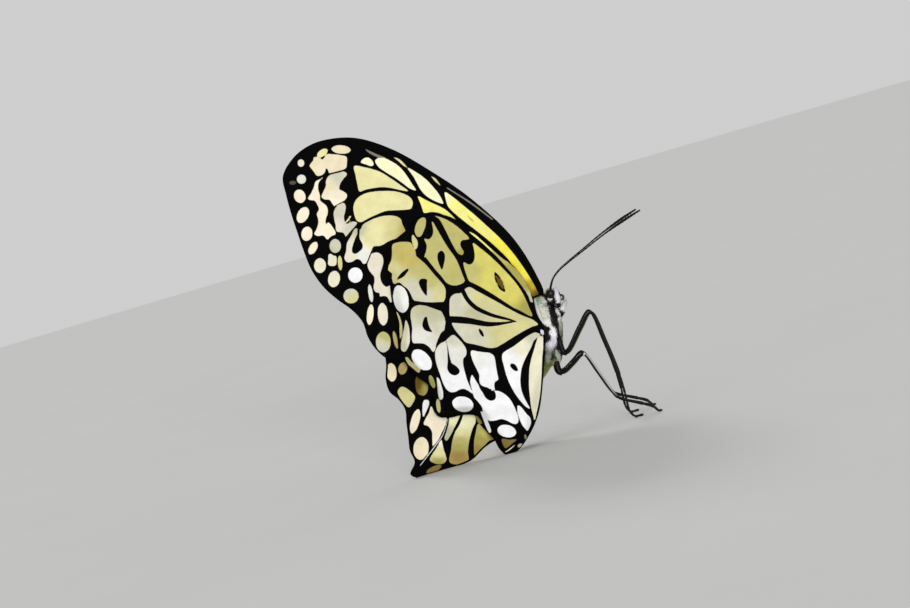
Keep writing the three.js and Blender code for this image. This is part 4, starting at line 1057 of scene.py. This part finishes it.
def abdomen():
    line = np.array([ABDOMEN_FRONT] + [[-u, 0, v] for u, v in ABDOMEN_LINE])
    line = curve_through(line, ABDOMEN_STEPS)
    share = np.linspace(-0.07, 1, len(line))  # 0 where it leaves the thorax
    shown = np.maximum(share, 0)
    taper = (1 - WAIST + WAIST * smooth(0, 0.3, share)) * (1 - TAPER * shown**BLUNTNESS)
    ring_wave = 1 - GROOVE * (shown * ABDOMEN_SEGMENTS % 1) ** 3
    radii = (ABDOMEN_RADIUS * taper - 0.5 * COAT) * ring_wave
    return tube(line, radii, ABDOMEN_SIDES, flatness=0.95)


def fused(parts):
    """One smooth closed skin round several overlapping ones."""
    raw = mesh_of("fused", *merged(parts))
    remesh = raw.modifiers.new("remesh", "REMESH")
    remesh.mode = "VOXEL"
    remesh.voxel_size = VOXEL
    soften = raw.modifiers.new("soften", "SMOOTH")
    soften.iterations = SOFTENING
    made = bpy.data.meshes.new_from_object(raw.evaluated_get(bpy.context.evaluated_depsgraph_get()))
    made.calc_loop_triangles()
    vertices = np.empty(len(made.vertices) * 3, np.float32)
    made.vertices.foreach_get("co", vertices)
    triangles = np.empty(len(made.loop_triangles) * 3, np.int32)
    made.loop_triangles.foreach_get("vertices", triangles)
    bpy.data.objects.remove(raw)
    return vertices.reshape(-1, 3).astype(float), triangles.reshape(-1, 3)


# ---------------------------------------------------------------- body markings

# Pale patches on the flanks, seen from the side like the wings.
BODY_CELLS = [
    ([("white", 0.5, -4.2), ("milk", 1, -2.4), ("milk", 1.8, -0.6), ("ash", 0.1, -2), ("moss", 2.4, 1)], [
        [3.3, 2.2], [2.2, 2.3], [0.7, 1.3], [0.05, -0.8], [-0.4, -2.8], [-0.7, -4.9], [-0.1, -5.1],
        [0.9, -4.5], [1.95, -3.35], [2.6, -2.2], [3.1, -0.8], [3.4, 0.9]]),
    ([("white", -1.2, -5.8), ("lilac", -0.8, -8.4), ("grey", 0, -10.8), ("moss", 0.1, -12.4)], [
        [-0.85, -4.65], [-1.5, -4.95], [-1.8, -6], [-1.85, -7.45], [-1.7, -8.7], [-1.1, -9.4],
        [-0.7, -10.6], [-0.25, -12], [0.1, -13.6], [0.6, -14.5], [0.6, -11.85], [0.6, -9.8], [0.4, -8.6],
        [-0.25, -7.9], [-0.7, -7.15], [-0.25, -6.4], [-0.1, -5.8]]),
    ("white", oval(-0.42, 1.48, 0.55, 0.55)),
    ("ash", oval(0.3, 3.1, 0.8, 0.55, 20)),
    ([("lilac", -1.5, 3.4), ("white", -2, 1.8)], [
        [-0.75, 3.4], [-1.2, 4.3], [-2.2, 4.2], [-2.4, 3.2], [-2.45, 2.3], [-2.7, 1.5], [-2.7, 0.9],
        [-2.3, 0.5], [-1.8, 0.9], [-1.4, 1.9], [-1, 2.7]]),
    ("white", [[-1.45, -0.5], [-1.7, -0.15], [-2.2, -0.3], [-2.6, -1], [-2.85, -2.3], [-2.3, -2.4],
               [-1.8, -1.8],
               [-1.5, -1.3]]),
    ([("moss", -4, 0.9), ("milk", -3.6, 0), ("white", -3, -0.9)], [
        [-2.7, -0.2], [-3, 0.3], [-3.6, 0.8], [-4.1, 1.2], [-4.3, 0.4], [-3.9, -0.8], [-3.5, -1.7],
        [-3, -1.3]]),
    ([("milk", -2.3, -2.8), ("moss", -2.8, -4.4), ("grey", -3.1, -6.4)], [
        [-2.2, -2.6], [-2.9, -2.5], [-3.4, -3.6], [-3.4, -5.4], [-3.2, -6.9], [-2.7, -6.8], [-2.4, -6],
        [-2.35, -4.4]]),
    ([("moss", -3.1, -7.8), ("olive", -3.2, -9.2)], [
        [-2.9, -7.1], [-3.4, -7.2], [-3.6, -8.4], [-3.3, -9.6], [-3, -9], [-2.8, -8]]),
    ([("moss", -2.1, -11.4), ("ash", -2.4, -13.2)], [
        [-1.4, -10], [-2.1, -10.2], [-2.7, -11.4], [-2.9, -13], [-2.9, -14.2], [-2.4, -14], [-2, -12.8],
        [-1.6, -11.4]]),
    ("olive", [[-0.5, -12.8], [-1, -12], [-1.4, -12.6], [-1.4, -13.6], [-0.9, -14.4], [-0.3, -14.6]]),
]  # fmt: skip
ABDOMEN_TOP = -12.6  # where the abdomen begins
DORSAL_SPOTS = [(-2.4, 0.8), (-6, 0.85), (-9.6, 0.7)]  # z and y of the pale spots on the thorax's back
DORSAL_WIDTH = 0.45
BODY_BLACK = linear(24, 18, 20)


def abdomen_share(points):
    """How far along the abdomen each point lies, and how far towards its back, from -1 to 1."""
    line = np.array([[-u, v] for u, v in ABDOMEN_LINE])
    lengths = np.concatenate([[0], np.cumsum(np.linalg.norm(np.diff(line, axis=0), axis=1))])
    distance, share = to_run(points[:, [0, 2]], line)
    nearest = distance.argmin(1)
    t = share[np.arange(len(points)), nearest]
    at = line[nearest] + t[:, None] * (line[nearest + 1] - line[nearest])
    along = (lengths[nearest] + t * np.diff(lengths)[nearest]) / lengths[-1]
    return along, (at[:, 0] - points[:, 0]) / ABDOMEN_RADIUS


def abdomen_colour(points):
    """An olive belly, paler underneath, with a dark back and a dark ring at each segment's end."""
    along, up = abdomen_share(points)
    stripe = smooth(0.35, 0.62, up + 0.1 * np.cos(along * math.tau * ABDOMEN_SEGMENTS))
    ring = smooth(0.80, 0.97, along * ABDOMEN_SEGMENTS % 1) * smooth(-0.6, 0.1, up)
    flank = 0.8 * TINTS["olive"]
    belly = flank + smooth(-0.4, -1, up)[:, None] * (TINTS["sage"] - flank)
    dark = np.maximum(stripe, 0.75 * ring)[:, None]
    return belly + dark * (TINTS["umber"] * 0.28 - belly)


def body_colour(points, normals):
    """The body's markings, alike on its skin and its coat and on both sides."""
    x, z, out = points[:, 0], points[:, 2], np.abs(points[:, 1])
    depth, tint = patch_field(np.stack([-x, z], 1), BODY_CELLS)
    on_foreleg, on_hinge = smooth(2.2, 3.4, x), smooth(1.7, 2.0, out)
    sideways = np.abs(normals[:, 1]) + 0.6 * on_foreleg + 0.5 * on_hinge
    share = smooth(-0.1, 0.12, depth) * smooth(0.12, 0.4, sideways)
    share *= 1 - smooth(2.3, 2.8, x) * smooth(0.5, 0.2, out)  # black between the forelegs
    for spot_z, spot_y in DORSAL_SPOTS:
        spot = bell(np.hypot(z - spot_z, out - spot_y), DORSAL_WIDTH) * (normals[:, 0] < -0.3)
        share = np.maximum(share, smooth(0.3, 0.6, spot))
    colour = BODY_BLACK + share[:, None] * (tint - BODY_BLACK)
    on_abdomen = smooth(ABDOMEN_TOP + 0.8, ABDOMEN_TOP - 1.2, z)[:, None]
    return colour + on_abdomen * (abdomen_colour(points) - colour)


# ---------------------------------------------------------------- the coat

# A strand is a bent spike with seven corners: three at its root, three half way and its tip.
STRAND_CORNERS = 7
STRAND_FACES = np.array([
    [0, 1, 4], [0, 4, 3], [1, 2, 5], [1, 5, 4], [2, 0, 3], [2, 3, 5], [3, 4, 6], [4, 5, 6], [5, 3, 6],
])  # fmt: skip
TOWARDS_TIP = [0, 0, 0, 0.6, 0.6, 0.6, 1]  # of each corner
STRAY = 0.22  # how far a strand turns from the coat's lie
DEPTH = 0.04  # how deep its root stands in the skin
SPREAD = 1.4  # how far a tuft's strands stand apart, in widths
LIFT = 0.22  # how far its tip stands off, for each millimetre of length
CURL = 0.08  # and turns aside
ROOF = 0.22  # how high its ridge is, for its width
SHADES = (0.75, 1.15)  # a tuft's own brightness
READ_AT = 0.45  # a tuft's width on the map
PATCH = 0.003  # a tuft's width on the map that the export bakes
SHARP = math.radians(60)  # edges of a strand beyond this angle

# What each kind of hair is like: millimetres between tufts, a strand's width, strands to a tuft.
HAIR = {
    "thorax": dict(spacing=0.13, width=0.085, strands=3),
    "head": dict(spacing=0.11, width=0.06, strands=3),
    "foreleg": dict(spacing=0.12, width=0.08, strands=4),
    "abdomen": dict(spacing=0.115, width=0.13, strands=1),
}
FORELEG_BOX = dict(front=2.9, low=-3.4, high=1.1)  # beyond this x and between these z
HEAD_BOX = dict(back=-1.6, low=-0.2, chin=1.3)
COAT_END = ABDOMEN_TOP - 0.4  # the thorax's hair gives way to the abdomen's scales
BARE_RING = 1.12  # no hair grows this near to an eye, in its radii


def tufts(roots, normals, lie, length, width, strands, rng):
    """Strands in tufts, bent along the coat's lie, and the number of the root of each corner."""
    own = np.repeat(np.arange(len(roots)), strands)
    n = normals[own]
    d = lie[own] + STRAY * rng.standard_normal((len(own), 3))
    d -= n * (d * n).sum(1)[:, None]
    d /= np.maximum(np.linalg.norm(d, axis=1), 1e-9)[:, None]
    b = np.cross(n, d)
    long = (length[own] * rng.uniform(0.75, 1.2, len(own)))[:, None]
    wide = (width * rng.uniform(0.8, 1.2, len(own)))[:, None]
    rise = (LIFT * rng.uniform(0.5, 1.5, len(own)))[:, None]
    base = roots[own] - DEPTH * n + (b * rng.uniform(-0.5, 0.5, len(own))[:, None]) * (SPREAD * wide)
    middle = base + long * (0.5 * d + (rise * 0.75) * n)
    tip = base + long * (d + rise * n) + CURL * long * b * rng.uniform(-1, 1, (len(own), 1))
    half, high = 0.5 * wide * b, ROOF * wide * n
    root_corners = [base - half, base + high, base + half]
    middle_corners = [middle - 0.8 * half, middle + high, middle + 0.8 * half]
    vertices = np.stack(root_corners + middle_corners + [tip], 1).reshape(-1, 3)
    first = STRAND_CORNERS * np.arange(len(own))[:, None, None]
    triangles = (STRAND_FACES[None] + first).reshape(-1, 3)
    return vertices, triangles[:, ::-1], np.repeat(own, STRAND_CORNERS)


def scattered(vertices, triangles, spacing, rng):
    """Points spread over a skin, about `spacing` apart, with the skin's normals."""
    a, b, c = (vertices[triangles[:, k]] for k in range(3))
    cross = np.cross(b - a, c - a)
    size = np.linalg.norm(cross, axis=1)
    area = size / 2
    count = int(area.sum() / spacing**2)
    chosen = rng.choice(len(triangles), count, p=area / area.sum())
    r1, r2 = np.sqrt(rng.random(count))[:, None], rng.random(count)[:, None]
    points = (1 - r1) * a[chosen] + r1 * (1 - r2) * b[chosen] + r1 * r2 * c[chosen]
    return points, cross[chosen] / np.maximum(size[chosen], 1e-12)[:, None]


def near_eye(points):
    """Whether points lie in an eye or close around it."""
    left = np.column_stack([points[:, 0], np.abs(points[:, 1]), points[:, 2]])
    return (((left - EYE["centre"]) / (np.array(EYE["radii"]) * BARE_RING)) ** 2).sum(1) < 1


def coat(name, kind, roots, normals, lie, length, rng):
    """A piece of hair. A tuft's map is a small patch at its root's place, unrolled round the body."""
    hair = HAIR[kind]
    vertices, triangles, own = tufts(roots, normals, lie, length, hair["width"], hair["strands"], rng)
    shade = rng.uniform(*SHADES, len(roots))[:, None]
    seen = roots + READ_AT * length[:, None] * lie / np.linalg.norm(lie, axis=1)[:, None]
    colour = np.clip(body_colour(seen, normals) * shade, 0, 1)
    turn = np.arctan2(roots[:, 1], roots[:, 0]) / math.tau + 0.5
    low, high = roots[:, 2].min(), roots[:, 2].max()
    map_root = 0.01 + 0.98 * np.stack([turn, (roots[:, 2] - low) / (high - low)], 1)
    spread = (vertices - roots[own]) / length[own][:, None]
    uv = map_root[own] + np.clip(spread[:, 1:] * 0.5, -0.5, 0.5) * PATCH
    made = piece(name, vertices, triangles, hair_material, uv=uv)
    made.data.set_sharp_from_angle(angle=SHARP)
    paint(made, "tint", colour[own])
    paint(made, "tip", np.tile(TOWARDS_TIP, len(own) // STRAND_CORNERS))


def all_along(points, way):
    return np.tile(np.array(way, float), (len(points), 1))


def on_thorax(p):
    beside_forelegs = (p[:, 0] < FORELEG_BOX["front"]) | (p[:, 2] < FORELEG_BOX["low"])
    below_head = (p[:, 2] < HEAD_BOX["chin"]) | (p[:, 0] < HEAD_BOX["back"])
    return below_head & beside_forelegs & (p[:, 2] > COAT_END)


def on_head(p):
    return (p[:, 2] > HEAD_BOX["low"]) & (p[:, 0] > HEAD_BOX["back"])


def on_forelegs(p):
    level = (p[:, 2] <= FORELEG_BOX["high"]) & (p[:, 2] > FORELEG_BOX["low"])
    return (p[:, 0] > FORELEG_BOX["front"]) & level


def on_abdomen(p):
    return p[:, 2] < COAT_END


def thorax_coat(points, normals, rng):
    """Long hair, combed towards the abdomen, in three pieces from the rear to the front."""
    x, y, z = points.T
    lie = all_along(points, (0, 0, -1))
    lie[:, 0] += 0.5 * smooth(-4, -12, z) - 0.35 * smooth(0, 3, x)
    long = 0.7 + 0.45 * smooth(-2, -9, z) + 0.2 * rng.random(len(points))
    long *= 1 - 0.5 * smooth(2.1, 2.4, np.abs(y))  # shorter under the wings
    for place, rows in zip(("rear", "middle", "front"), np.array_split(np.argsort(z), 3)):
        coat(f"thorax_{place}_hair", "thorax", points[rows], normals[rows], lie[rows], long[rows], rng)


def head_coat(points, normals, rng):
    """Short hair, longer in a crest between the feelers and the thorax."""
    x, y, z = points.T
    on_palp = (x > 1.2) & (np.abs(y) > 0.55)
    lie = np.where(on_palp[:, None], [-0.15, 0, 1], [-0.6, 0, 0.75])
    crest = smooth(0.7, -0.2, x) * smooth(1.8, 2.6, z)
    long = np.where(on_palp, 0.5, 0.38 + 0.55 * crest) + 0.12 * rng.random(len(points))
    coat("head_hair", "head", points, normals, lie, long, rng)


def foreleg_coat(points, normals, rng):
    """Hair combed towards the head, shorter the nearer to it."""
    long = (0.75 + 0.3 * rng.random(len(points))) * smooth(2.2, 0, points[:, 2])
    coat("foreleg_hair", "foreleg", points, normals, all_along(points, (0.05, 0, 1)), long, rng)


def abdomen_coat(points, normals, rng):
    """Short broad scales that lie flat."""
    long = 0.34 + 0.08 * rng.random(len(points))
    coat("abdomen_scales", "abdomen", points, normals, all_along(points, (-0.35, 0, -1)), long, rng)


def body_parts():
    """The parts of the body's skin, which overlap. Each lies a little inside its solid."""
    parts = [thorax(), abdomen(), ball(**NECK), ball(HEAD["centre"], np.array(HEAD["radii"]) - COAT)]
    for side in SIDES.values():
        parts.append(ball(KNOB["centre"], np.array(KNOB["radii"]) - 0.5 * COAT, side=side))
        parts.append(limb(HINGE, side=side))
        for stations in (PALP, FORELEG):
            parts.append(limb(np.array(stations) - [0, 0, 0, 0.6 * COAT], side=side))
    return parts


def body():
    """The body's skin and the coat that stands on it."""
    vertices, triangles = fused(body_parts())
    normals = vertex_normals(vertices, triangles)
    replaced = ["head", "thorax", "abdomen"]
    replaced += [f"{part}_{side}" for part in ("palp", "leg_fore") for side in SIDES]
    skin = piece("body_skin", vertices, triangles, skin_material, replaced)
    paint(skin, "tint", body_colour(vertices, normals))

    rng = np.random.default_rng(7)
    coats = (
        ("thorax", on_thorax, thorax_coat),
        ("head", on_head, head_coat),
        ("foreleg", on_forelegs, foreleg_coat),
        ("abdomen", on_abdomen, abdomen_coat),
    )
    for kind, grows_on, make in coats:
        points, own_normals = scattered(vertices, triangles, HAIR[kind]["spacing"], rng)
        kept = grows_on(points) & ~near_eye(points)
        make(points[kept], own_normals[kept], rng)


# ---------------------------------------------------------------- eyes, feelers, tongue and legs

LEG_STATIONS = {
    "mid": [
        [2.4, 0.9, -7.6, 0.6], [3.7, 1.3, -10.9, 0.6], [4.6, 1.6, -10.6, 0.56], [7.4, 2.6, -5.2, 0.5],
        [9.4, 3.3, -1.6, 0.42], [10.2, 3.6, -1.9, 0.38], [13.0, 4.3, -8.0, 0.38], [15.6, 4.9, -14.2, 0.36],
        [17.3, 5.3, -19.6, 0.27], [18.6, 5.6, -24.2, 0.27], [19.9, 5.8, None, 0.27], [21.5, 6.0, None, 0.27]],
    "hind": [
        [1.7, 0.9, -12.6, 0.7], [2.6, 1.3, -15.3, 0.75], [3.7, 1.6, -15.2, 0.62], [5.8, 2.6, -13.2, 0.5],
        [7.8, 3.6, -11.1, 0.42], [8.6, 3.9, -11.4, 0.4], [12.0, 5.1, -16.0, 0.42], [15.4, 6.2, -20.5, 0.38],
        [16.6, 6.5, -21.1, 0.36], [20.8, 7.1, -22.0, 0.38], [23.6, 7.5, -22.7, 0.36], [25.0, 7.7, None, 0.27],
        [25.6, 7.8, None, 0.27]],
}  # fmt: skip
# Places along a leg, counted in stations.
COXA = 1.5  # where the hip's short pieces meet the femur
KNEE = 4.5  # where the femur meets the tibia
ANKLE = 7.3  # where the tibia meets the foot
LEG_PARTS = (  # start, end, width at the ends, how much wider in the middle
    (0, COXA, 1.0, 0.1),
    (COXA, KNEE, 0.78, 0.3),
    (KNEE, ANKLE, 0.92, 0.08),
)
FOOT_JOINTS = 5
LEG_STEPS, LEG_SIDES = 18, 14
SLIMNESS = 0.95  # of a leg's radius, against its solid's
SPIKE_SIDES = 5
SPINE = dict(every=3, tibia=0.34, foot=0.2, radius=0.03)
CLAW = dict(length=0.28, radius=0.08, spread=0.45)
LEG_BLACK = 0.5 * BODY_BLACK

ANTENNA = [
    [0.5, 0.42, 3.55, 0.26], [0.62, 0.5, 4.25, 0.24], [1.2, 0.8, 6.2, 0.18], [2.6, 1.25, 8.1, 0.17],
    [4.6, 1.85, 9.9, 0.17], [7.8, 2.7, 12.5, 0.18], [12.6, 4.0, 16.4, 0.2], [17.2, 5.1, 19.7, 0.32],
    [20.6, 5.9, 21.9, 0.2],
]  # fmt: skip
TONGUE = dict(x=3.05, z=1.7, outer=0.76, inner=0.12, turns=2.3, radius=0.17)
TONGUE_STATIONS = 60
TONGUE_BROWN = 0.1 * TINTS["umber"]


def floor_z(x, height):
    """z in the insect's frame of a point at x that is this high above the floor."""
    return (height - ORIGIN[2] + math.sin(PITCH) * x) / math.cos(PITCH)


def spike(base, direction, length, radius):
    """A small cone, a little swollen half way."""
    d = np.array(direction, float)
    d /= np.linalg.norm(d)
    a = np.cross(d, [0.3, 1, 0.2])
    a /= np.linalg.norm(a)
    cos, sin = circle(SPIKE_SIDES)
    ring = np.outer(cos, a) + np.outer(sin, np.cross(d, a))
    middle, tip = base + d * length * 0.5, base + d * length
    return lofted([base + radius * ring, middle + 0.6 * radius * ring, tip + 0.08 * radius * ring])


def between(start, end, place):
    """How far a place lies from start to end, as a share, and whether it lies there at all."""
    share = (place - start) / (end - start)
    return np.clip(share, 0, 1), (share >= 0) & (share < 1)


def leg_profile(place):
    """Factors of a leg's radius, which narrows at each joint."""
    factor = np.full(len(place), 0.8)
    for start, end, waist, fullness in LEG_PARTS:
        share, within = between(start, end, place)
        shape = waist + fullness * np.sin(math.pi * share) ** 0.6 + 0.16 * bell(share - 0.93, 0.06)
        factor = np.where(within, shape, factor)
    share, within = between(ANKLE, place[-1], place)
    joint = share * FOOT_JOINTS % 1
    return np.where(within | (share == 1), 0.94 + 0.18 * joint - 0.2 * bell(joint, 0.12), factor)


def leg_line(pair, side):
    """A leg's middle line and its radius. The foot lies on the floor."""
    stations = []
    for x, y, z, r in LEG_STATIONS[pair]:
        r = r * SLIMNESS
        stations.append([x, y, floor_z(x, 1.12 * r) if z is None else z, r])
    line = curve_through(np.array(stations) * (1, side, 1, 1), LEG_STEPS)
    line[:, 2] = np.maximum(line[:, 2], floor_z(line[:, 0], 1.1 * line[:, 3]))
    return line[:, :3], line[:, 3]


def spines(line, radius, place):
    """Pairs of spines along the tibia and the foot, and the two claws."""
    along, across, third = frames_along(line)
    made = []
    for k in range(0, len(line), SPINE["every"]):
        if not KNEE + 0.2 < place[k] < place[-1] - 0.15:
            continue
        length = SPINE["tibia"] if place[k] < ANKLE else SPINE["foot"]
        for hand in (-1, 1):
            out = across[k] * 0.9 * hand + third[k] * (0.5 if k % 2 else -0.5)
            out /= np.linalg.norm(out)
            root = line[k] + radius[k] * 0.8 * out
            made.append(spike(root, out * 0.4 + along[k], length, SPINE["radius"]))
    level = TURN.T @ np.array([1, 0, -0.05])  # almost level with the floor
    for hand in (-1, 1):
        way = level + [0, hand * CLAW["spread"], 0]
        made.append(spike(line[-1], way, CLAW["length"], CLAW["radius"]))
    return made


def leg_colour(pair, side, out, place):
    """Black, with a pale line under the femur, and on a hind leg a white knee and a painted highlight, a
    milk-white sheen, along the tibia's upper side.
    """
    femur = smooth(COXA, COXA + 0.5, place) * smooth(KNEE - 0.1, KNEE - 0.5, place)
    tibia = smooth(KNEE + 0.1, KNEE + 0.4, place) * smooth(ANKLE, ANKLE - 1, place)
    shares = {"khaki": 0.7 * femur * smooth(0.6, 0.85, out @ [0.6, 0, -0.8])}
    if pair == "hind":
        # painted highlight: the tibia's upper side, turned towards the camera, is painted milk-white as a
        # sheen
        shares["milk"] = 0.7 * tibia * smooth(0.78, 0.97, out @ [0.45, 0.8 * side, 0.4])
        shares["white"] = bell(place - KNEE, 0.14) * smooth(-0.2, 0.3, out[:, 1] * side)
    colour = np.tile(LEG_BLACK, (len(place), 1))
    for tint, share in shares.items():
        colour += share[:, None] * (TINTS[tint] - colour)
    return colour


def chitin(name, node, vertices, triangles, colour):
    """A hard, softly shining piece. The last colour goes on for the rest of its vertices."""
    made = piece(name, vertices, triangles, leg_material, [node])
    colours = np.tile(colour[-1:], (len(vertices), 1))
    colours[: len(colour)] = colour
    paint(made, "tint", colours)


def leg(pair, side_name):
    name, side = f"leg_{pair}_{side_name}", SIDES[side_name]
    line, radius = leg_line(pair, side)
    place = np.arange(len(line)) / LEG_STEPS
    radius = radius * leg_profile(place)
    vertices, triangles = merged([tube(line, radius, LEG_SIDES)] + spines(line, radius, place))

    row = np.repeat(np.arange(len(line)), LEG_SIDES)
    out = (vertices[: len(row)] - line[row]) / radius[row][:, None]
    colour = np.vstack([leg_colour(pair, side, out, place[row]), LEG_BLACK])
    chitin(name + "_chitin", name, vertices, triangles, colour)


def ringed(depth, count):
    """The profile of a limb with this many rings."""
    return lambda share: 1 + depth * np.cos(share * math.tau * count)


def antenna(side_name):
    name = f"antenna_{side_name}"
    rings = ringed(depth=0.09, count=42)
    vertices, triangles = limb(ANTENNA, per=40, side=SIDES[side_name], shape=rings)
    chitin(name + "_chitin", name, vertices, triangles, LEG_BLACK[None])


def eye(side_name):
    name = f"eye_{side_name}"
    vertices, triangles = ball(**EYE, rows=48, around=72, side=SIDES[side_name])
    piece(name + "_lens", vertices, triangles, eye_material, [name])


def tongue():
    """A coil that starts at its lower end and narrows towards the middle."""
    stations = []
    for share in np.linspace(0, 1, TONGUE_STATIONS):
        angle = -math.pi / 2 - math.tau * TONGUE["turns"] * share
        reach = TONGUE["outer"] - (TONGUE["outer"] - TONGUE["inner"]) * share**1.3
        place = [TONGUE["x"] + reach * math.cos(angle), 0, TONGUE["z"] + reach * math.sin(angle)]
        stations.append(place + [TONGUE["radius"] * (1 - 0.45 * share)])
    vertices, triangles = limb(stations, sides=14, shape=ringed(depth=0.06, count=90))
    chitin("tongue", "proboscis", vertices, triangles, TONGUE_BROWN[None])


def make_skin_material():
    n = Nodes("body skin", Roughness=0.75, Specular_IOR_Level=0.1)
    colour = n.tinted(n.ramp(n.noise(8, 2), 0.25, 0.75, 0.7, 1.1))
    return n.surface(colour, None, n.noise(9, 2, (1, 1, 0.3)), strength=0.5, depth=0.06)


def make_hair_material():
    """Each strand is lighter towards its tip."""
    n = Nodes("body hair", Roughness=0.6, Specular_IOR_Level=0.15)
    colour = n.tinted(n.ramp(n.value("tip"), 0, 1, 0.8, 1.15))
    return n.surface(colour, n.ramp(n.noise(4, 1), 0.2, 0.8, 0.5, 0.7))


def make_leg_material():
    n = Nodes("black chitin", Specular_IOR_Level=0.12)
    colour = n.tinted(n.ramp(n.noise(7, 2), 0.3, 0.7, 0.8, 1.15))
    rough = n.ramp(n.noise(5, 2), 0.3, 0.7, 0.3, 0.5)
    return n.surface(colour, rough, n.noise(12, 2, (1, 1, 0.4)), strength=0.4, depth=0.03)


def make_eye_material():
    n = Nodes("eye facets", Specular_IOR_Level=0.15, Coat_Weight=0.1, Coat_Roughness=0.08)
    cells = n.make("ShaderNodeTexVoronoi", feature="F1")
    cells.inputs["Scale"].default_value = 14 / MM
    n.link(n.place(), cells.inputs["Vector"])
    colour = n.mix(n.noise(1.2, 2), (0.003, 0.002, 0.002), (0.016, 0.010, 0.008))
    facets = n.math("MULTIPLY", cells.outputs["Distance"], -1)
    return n.surface(colour, 0.25, facets, strength=0.35, depth=0.02)


skin_material = make_skin_material()
hair_material = make_hair_material()
leg_material = make_leg_material()
eye_material = make_eye_material()

body()
tongue()
for side_name in SIDES:
    eye(side_name)
    antenna(side_name)
    for pair in LEG_STATIONS:
        leg(pair, side_name)

# ---------------------------------------------------------------- floor, light and camera

FLOOR_RADIUS = 3.0
AMBIENT = 0.62  # the even light of the room, and how bright the picture's background is
FLOOR_SHADE = 0.64
SUNS = {  # the way to each lamp and its strength
    "key": ((0.12, -0.98, 0.13), 1.58),
    "back": ((-0.3, 0.8, 0.5), 1.0),
}
SUN_WIDTH = math.radians(14)

SENSOR = 36.0
NEAREST = 0.01  # metres, where the camera's view begins
PHOTO_WIDTH = 910  # pixels
PIXEL = 0.23  # millimetres at the insect


def floor():
    bpy.ops.mesh.primitive_circle_add(vertices=96, radius=FLOOR_RADIUS, fill_type="TRIFAN")
    disc = bpy.context.object
    disc.name = "floor"
    n = Nodes("pale floor", Roughness=0.95, Specular_IOR_Level=0.0)
    grain = n.ramp(n.noise(0.02, 2), 0.2, 0.8, 0.985, 1.0)
    n.surface(n.mix(1.0, (FLOOR_SHADE, FLOOR_SHADE, 0.99 * FLOOR_SHADE), grain, "MULTIPLY"))
    disc.data.materials.append(n.material)


def light():
    for name, (way, strength) in SUNS.items():
        lamp = bpy.data.lights.new(name, "SUN")
        lamp.angle = SUN_WIDTH
        lamp.energy = strength
        made = bpy.data.objects.new(name, lamp)
        made.rotation_euler = Vector(way).to_track_quat("Z", "Y").to_euler()
        bpy.context.scene.collection.objects.link(made)
    world = bpy.data.worlds.new("studio")
    bpy.context.scene.world = world
    world.use_nodes = True
    world.node_tree.nodes["Background"].inputs["Color"].default_value = (AMBIENT, AMBIENT, AMBIENT, 1)
    bpy.context.scene.view_settings.view_transform = "Standard"


def camera():
    """It sees the insect's right side from a little above, rolled so that the insect's z is up."""
    data = bpy.data.cameras.new("camera")
    data.sensor_width = SENSOR
    data.lens = SENSOR * CAMERA_DISTANCE / (PHOTO_WIDTH * PIXEL)
    data.clip_start = NEAREST
    made = bpy.data.objects.new("camera", data)
    forward = Vector((0, math.cos(CAMERA_ELEVATION), -math.sin(CAMERA_ELEVATION)))
    head_up = Vector(TURN @ np.array([0, 0, 1.0]))
    up = (head_up - forward * head_up.dot(forward)).normalized()
    right = forward.cross(up)
    made.matrix_world = Matrix((right, up, -forward)).transposed().to_4x4()
    made.location = Vector(to_world([AIM])[0]) - forward * CAMERA_DISTANCE * MM
    bpy.context.scene.collection.objects.link(made)
    bpy.context.scene.camera = made


floor()
light()
camera()
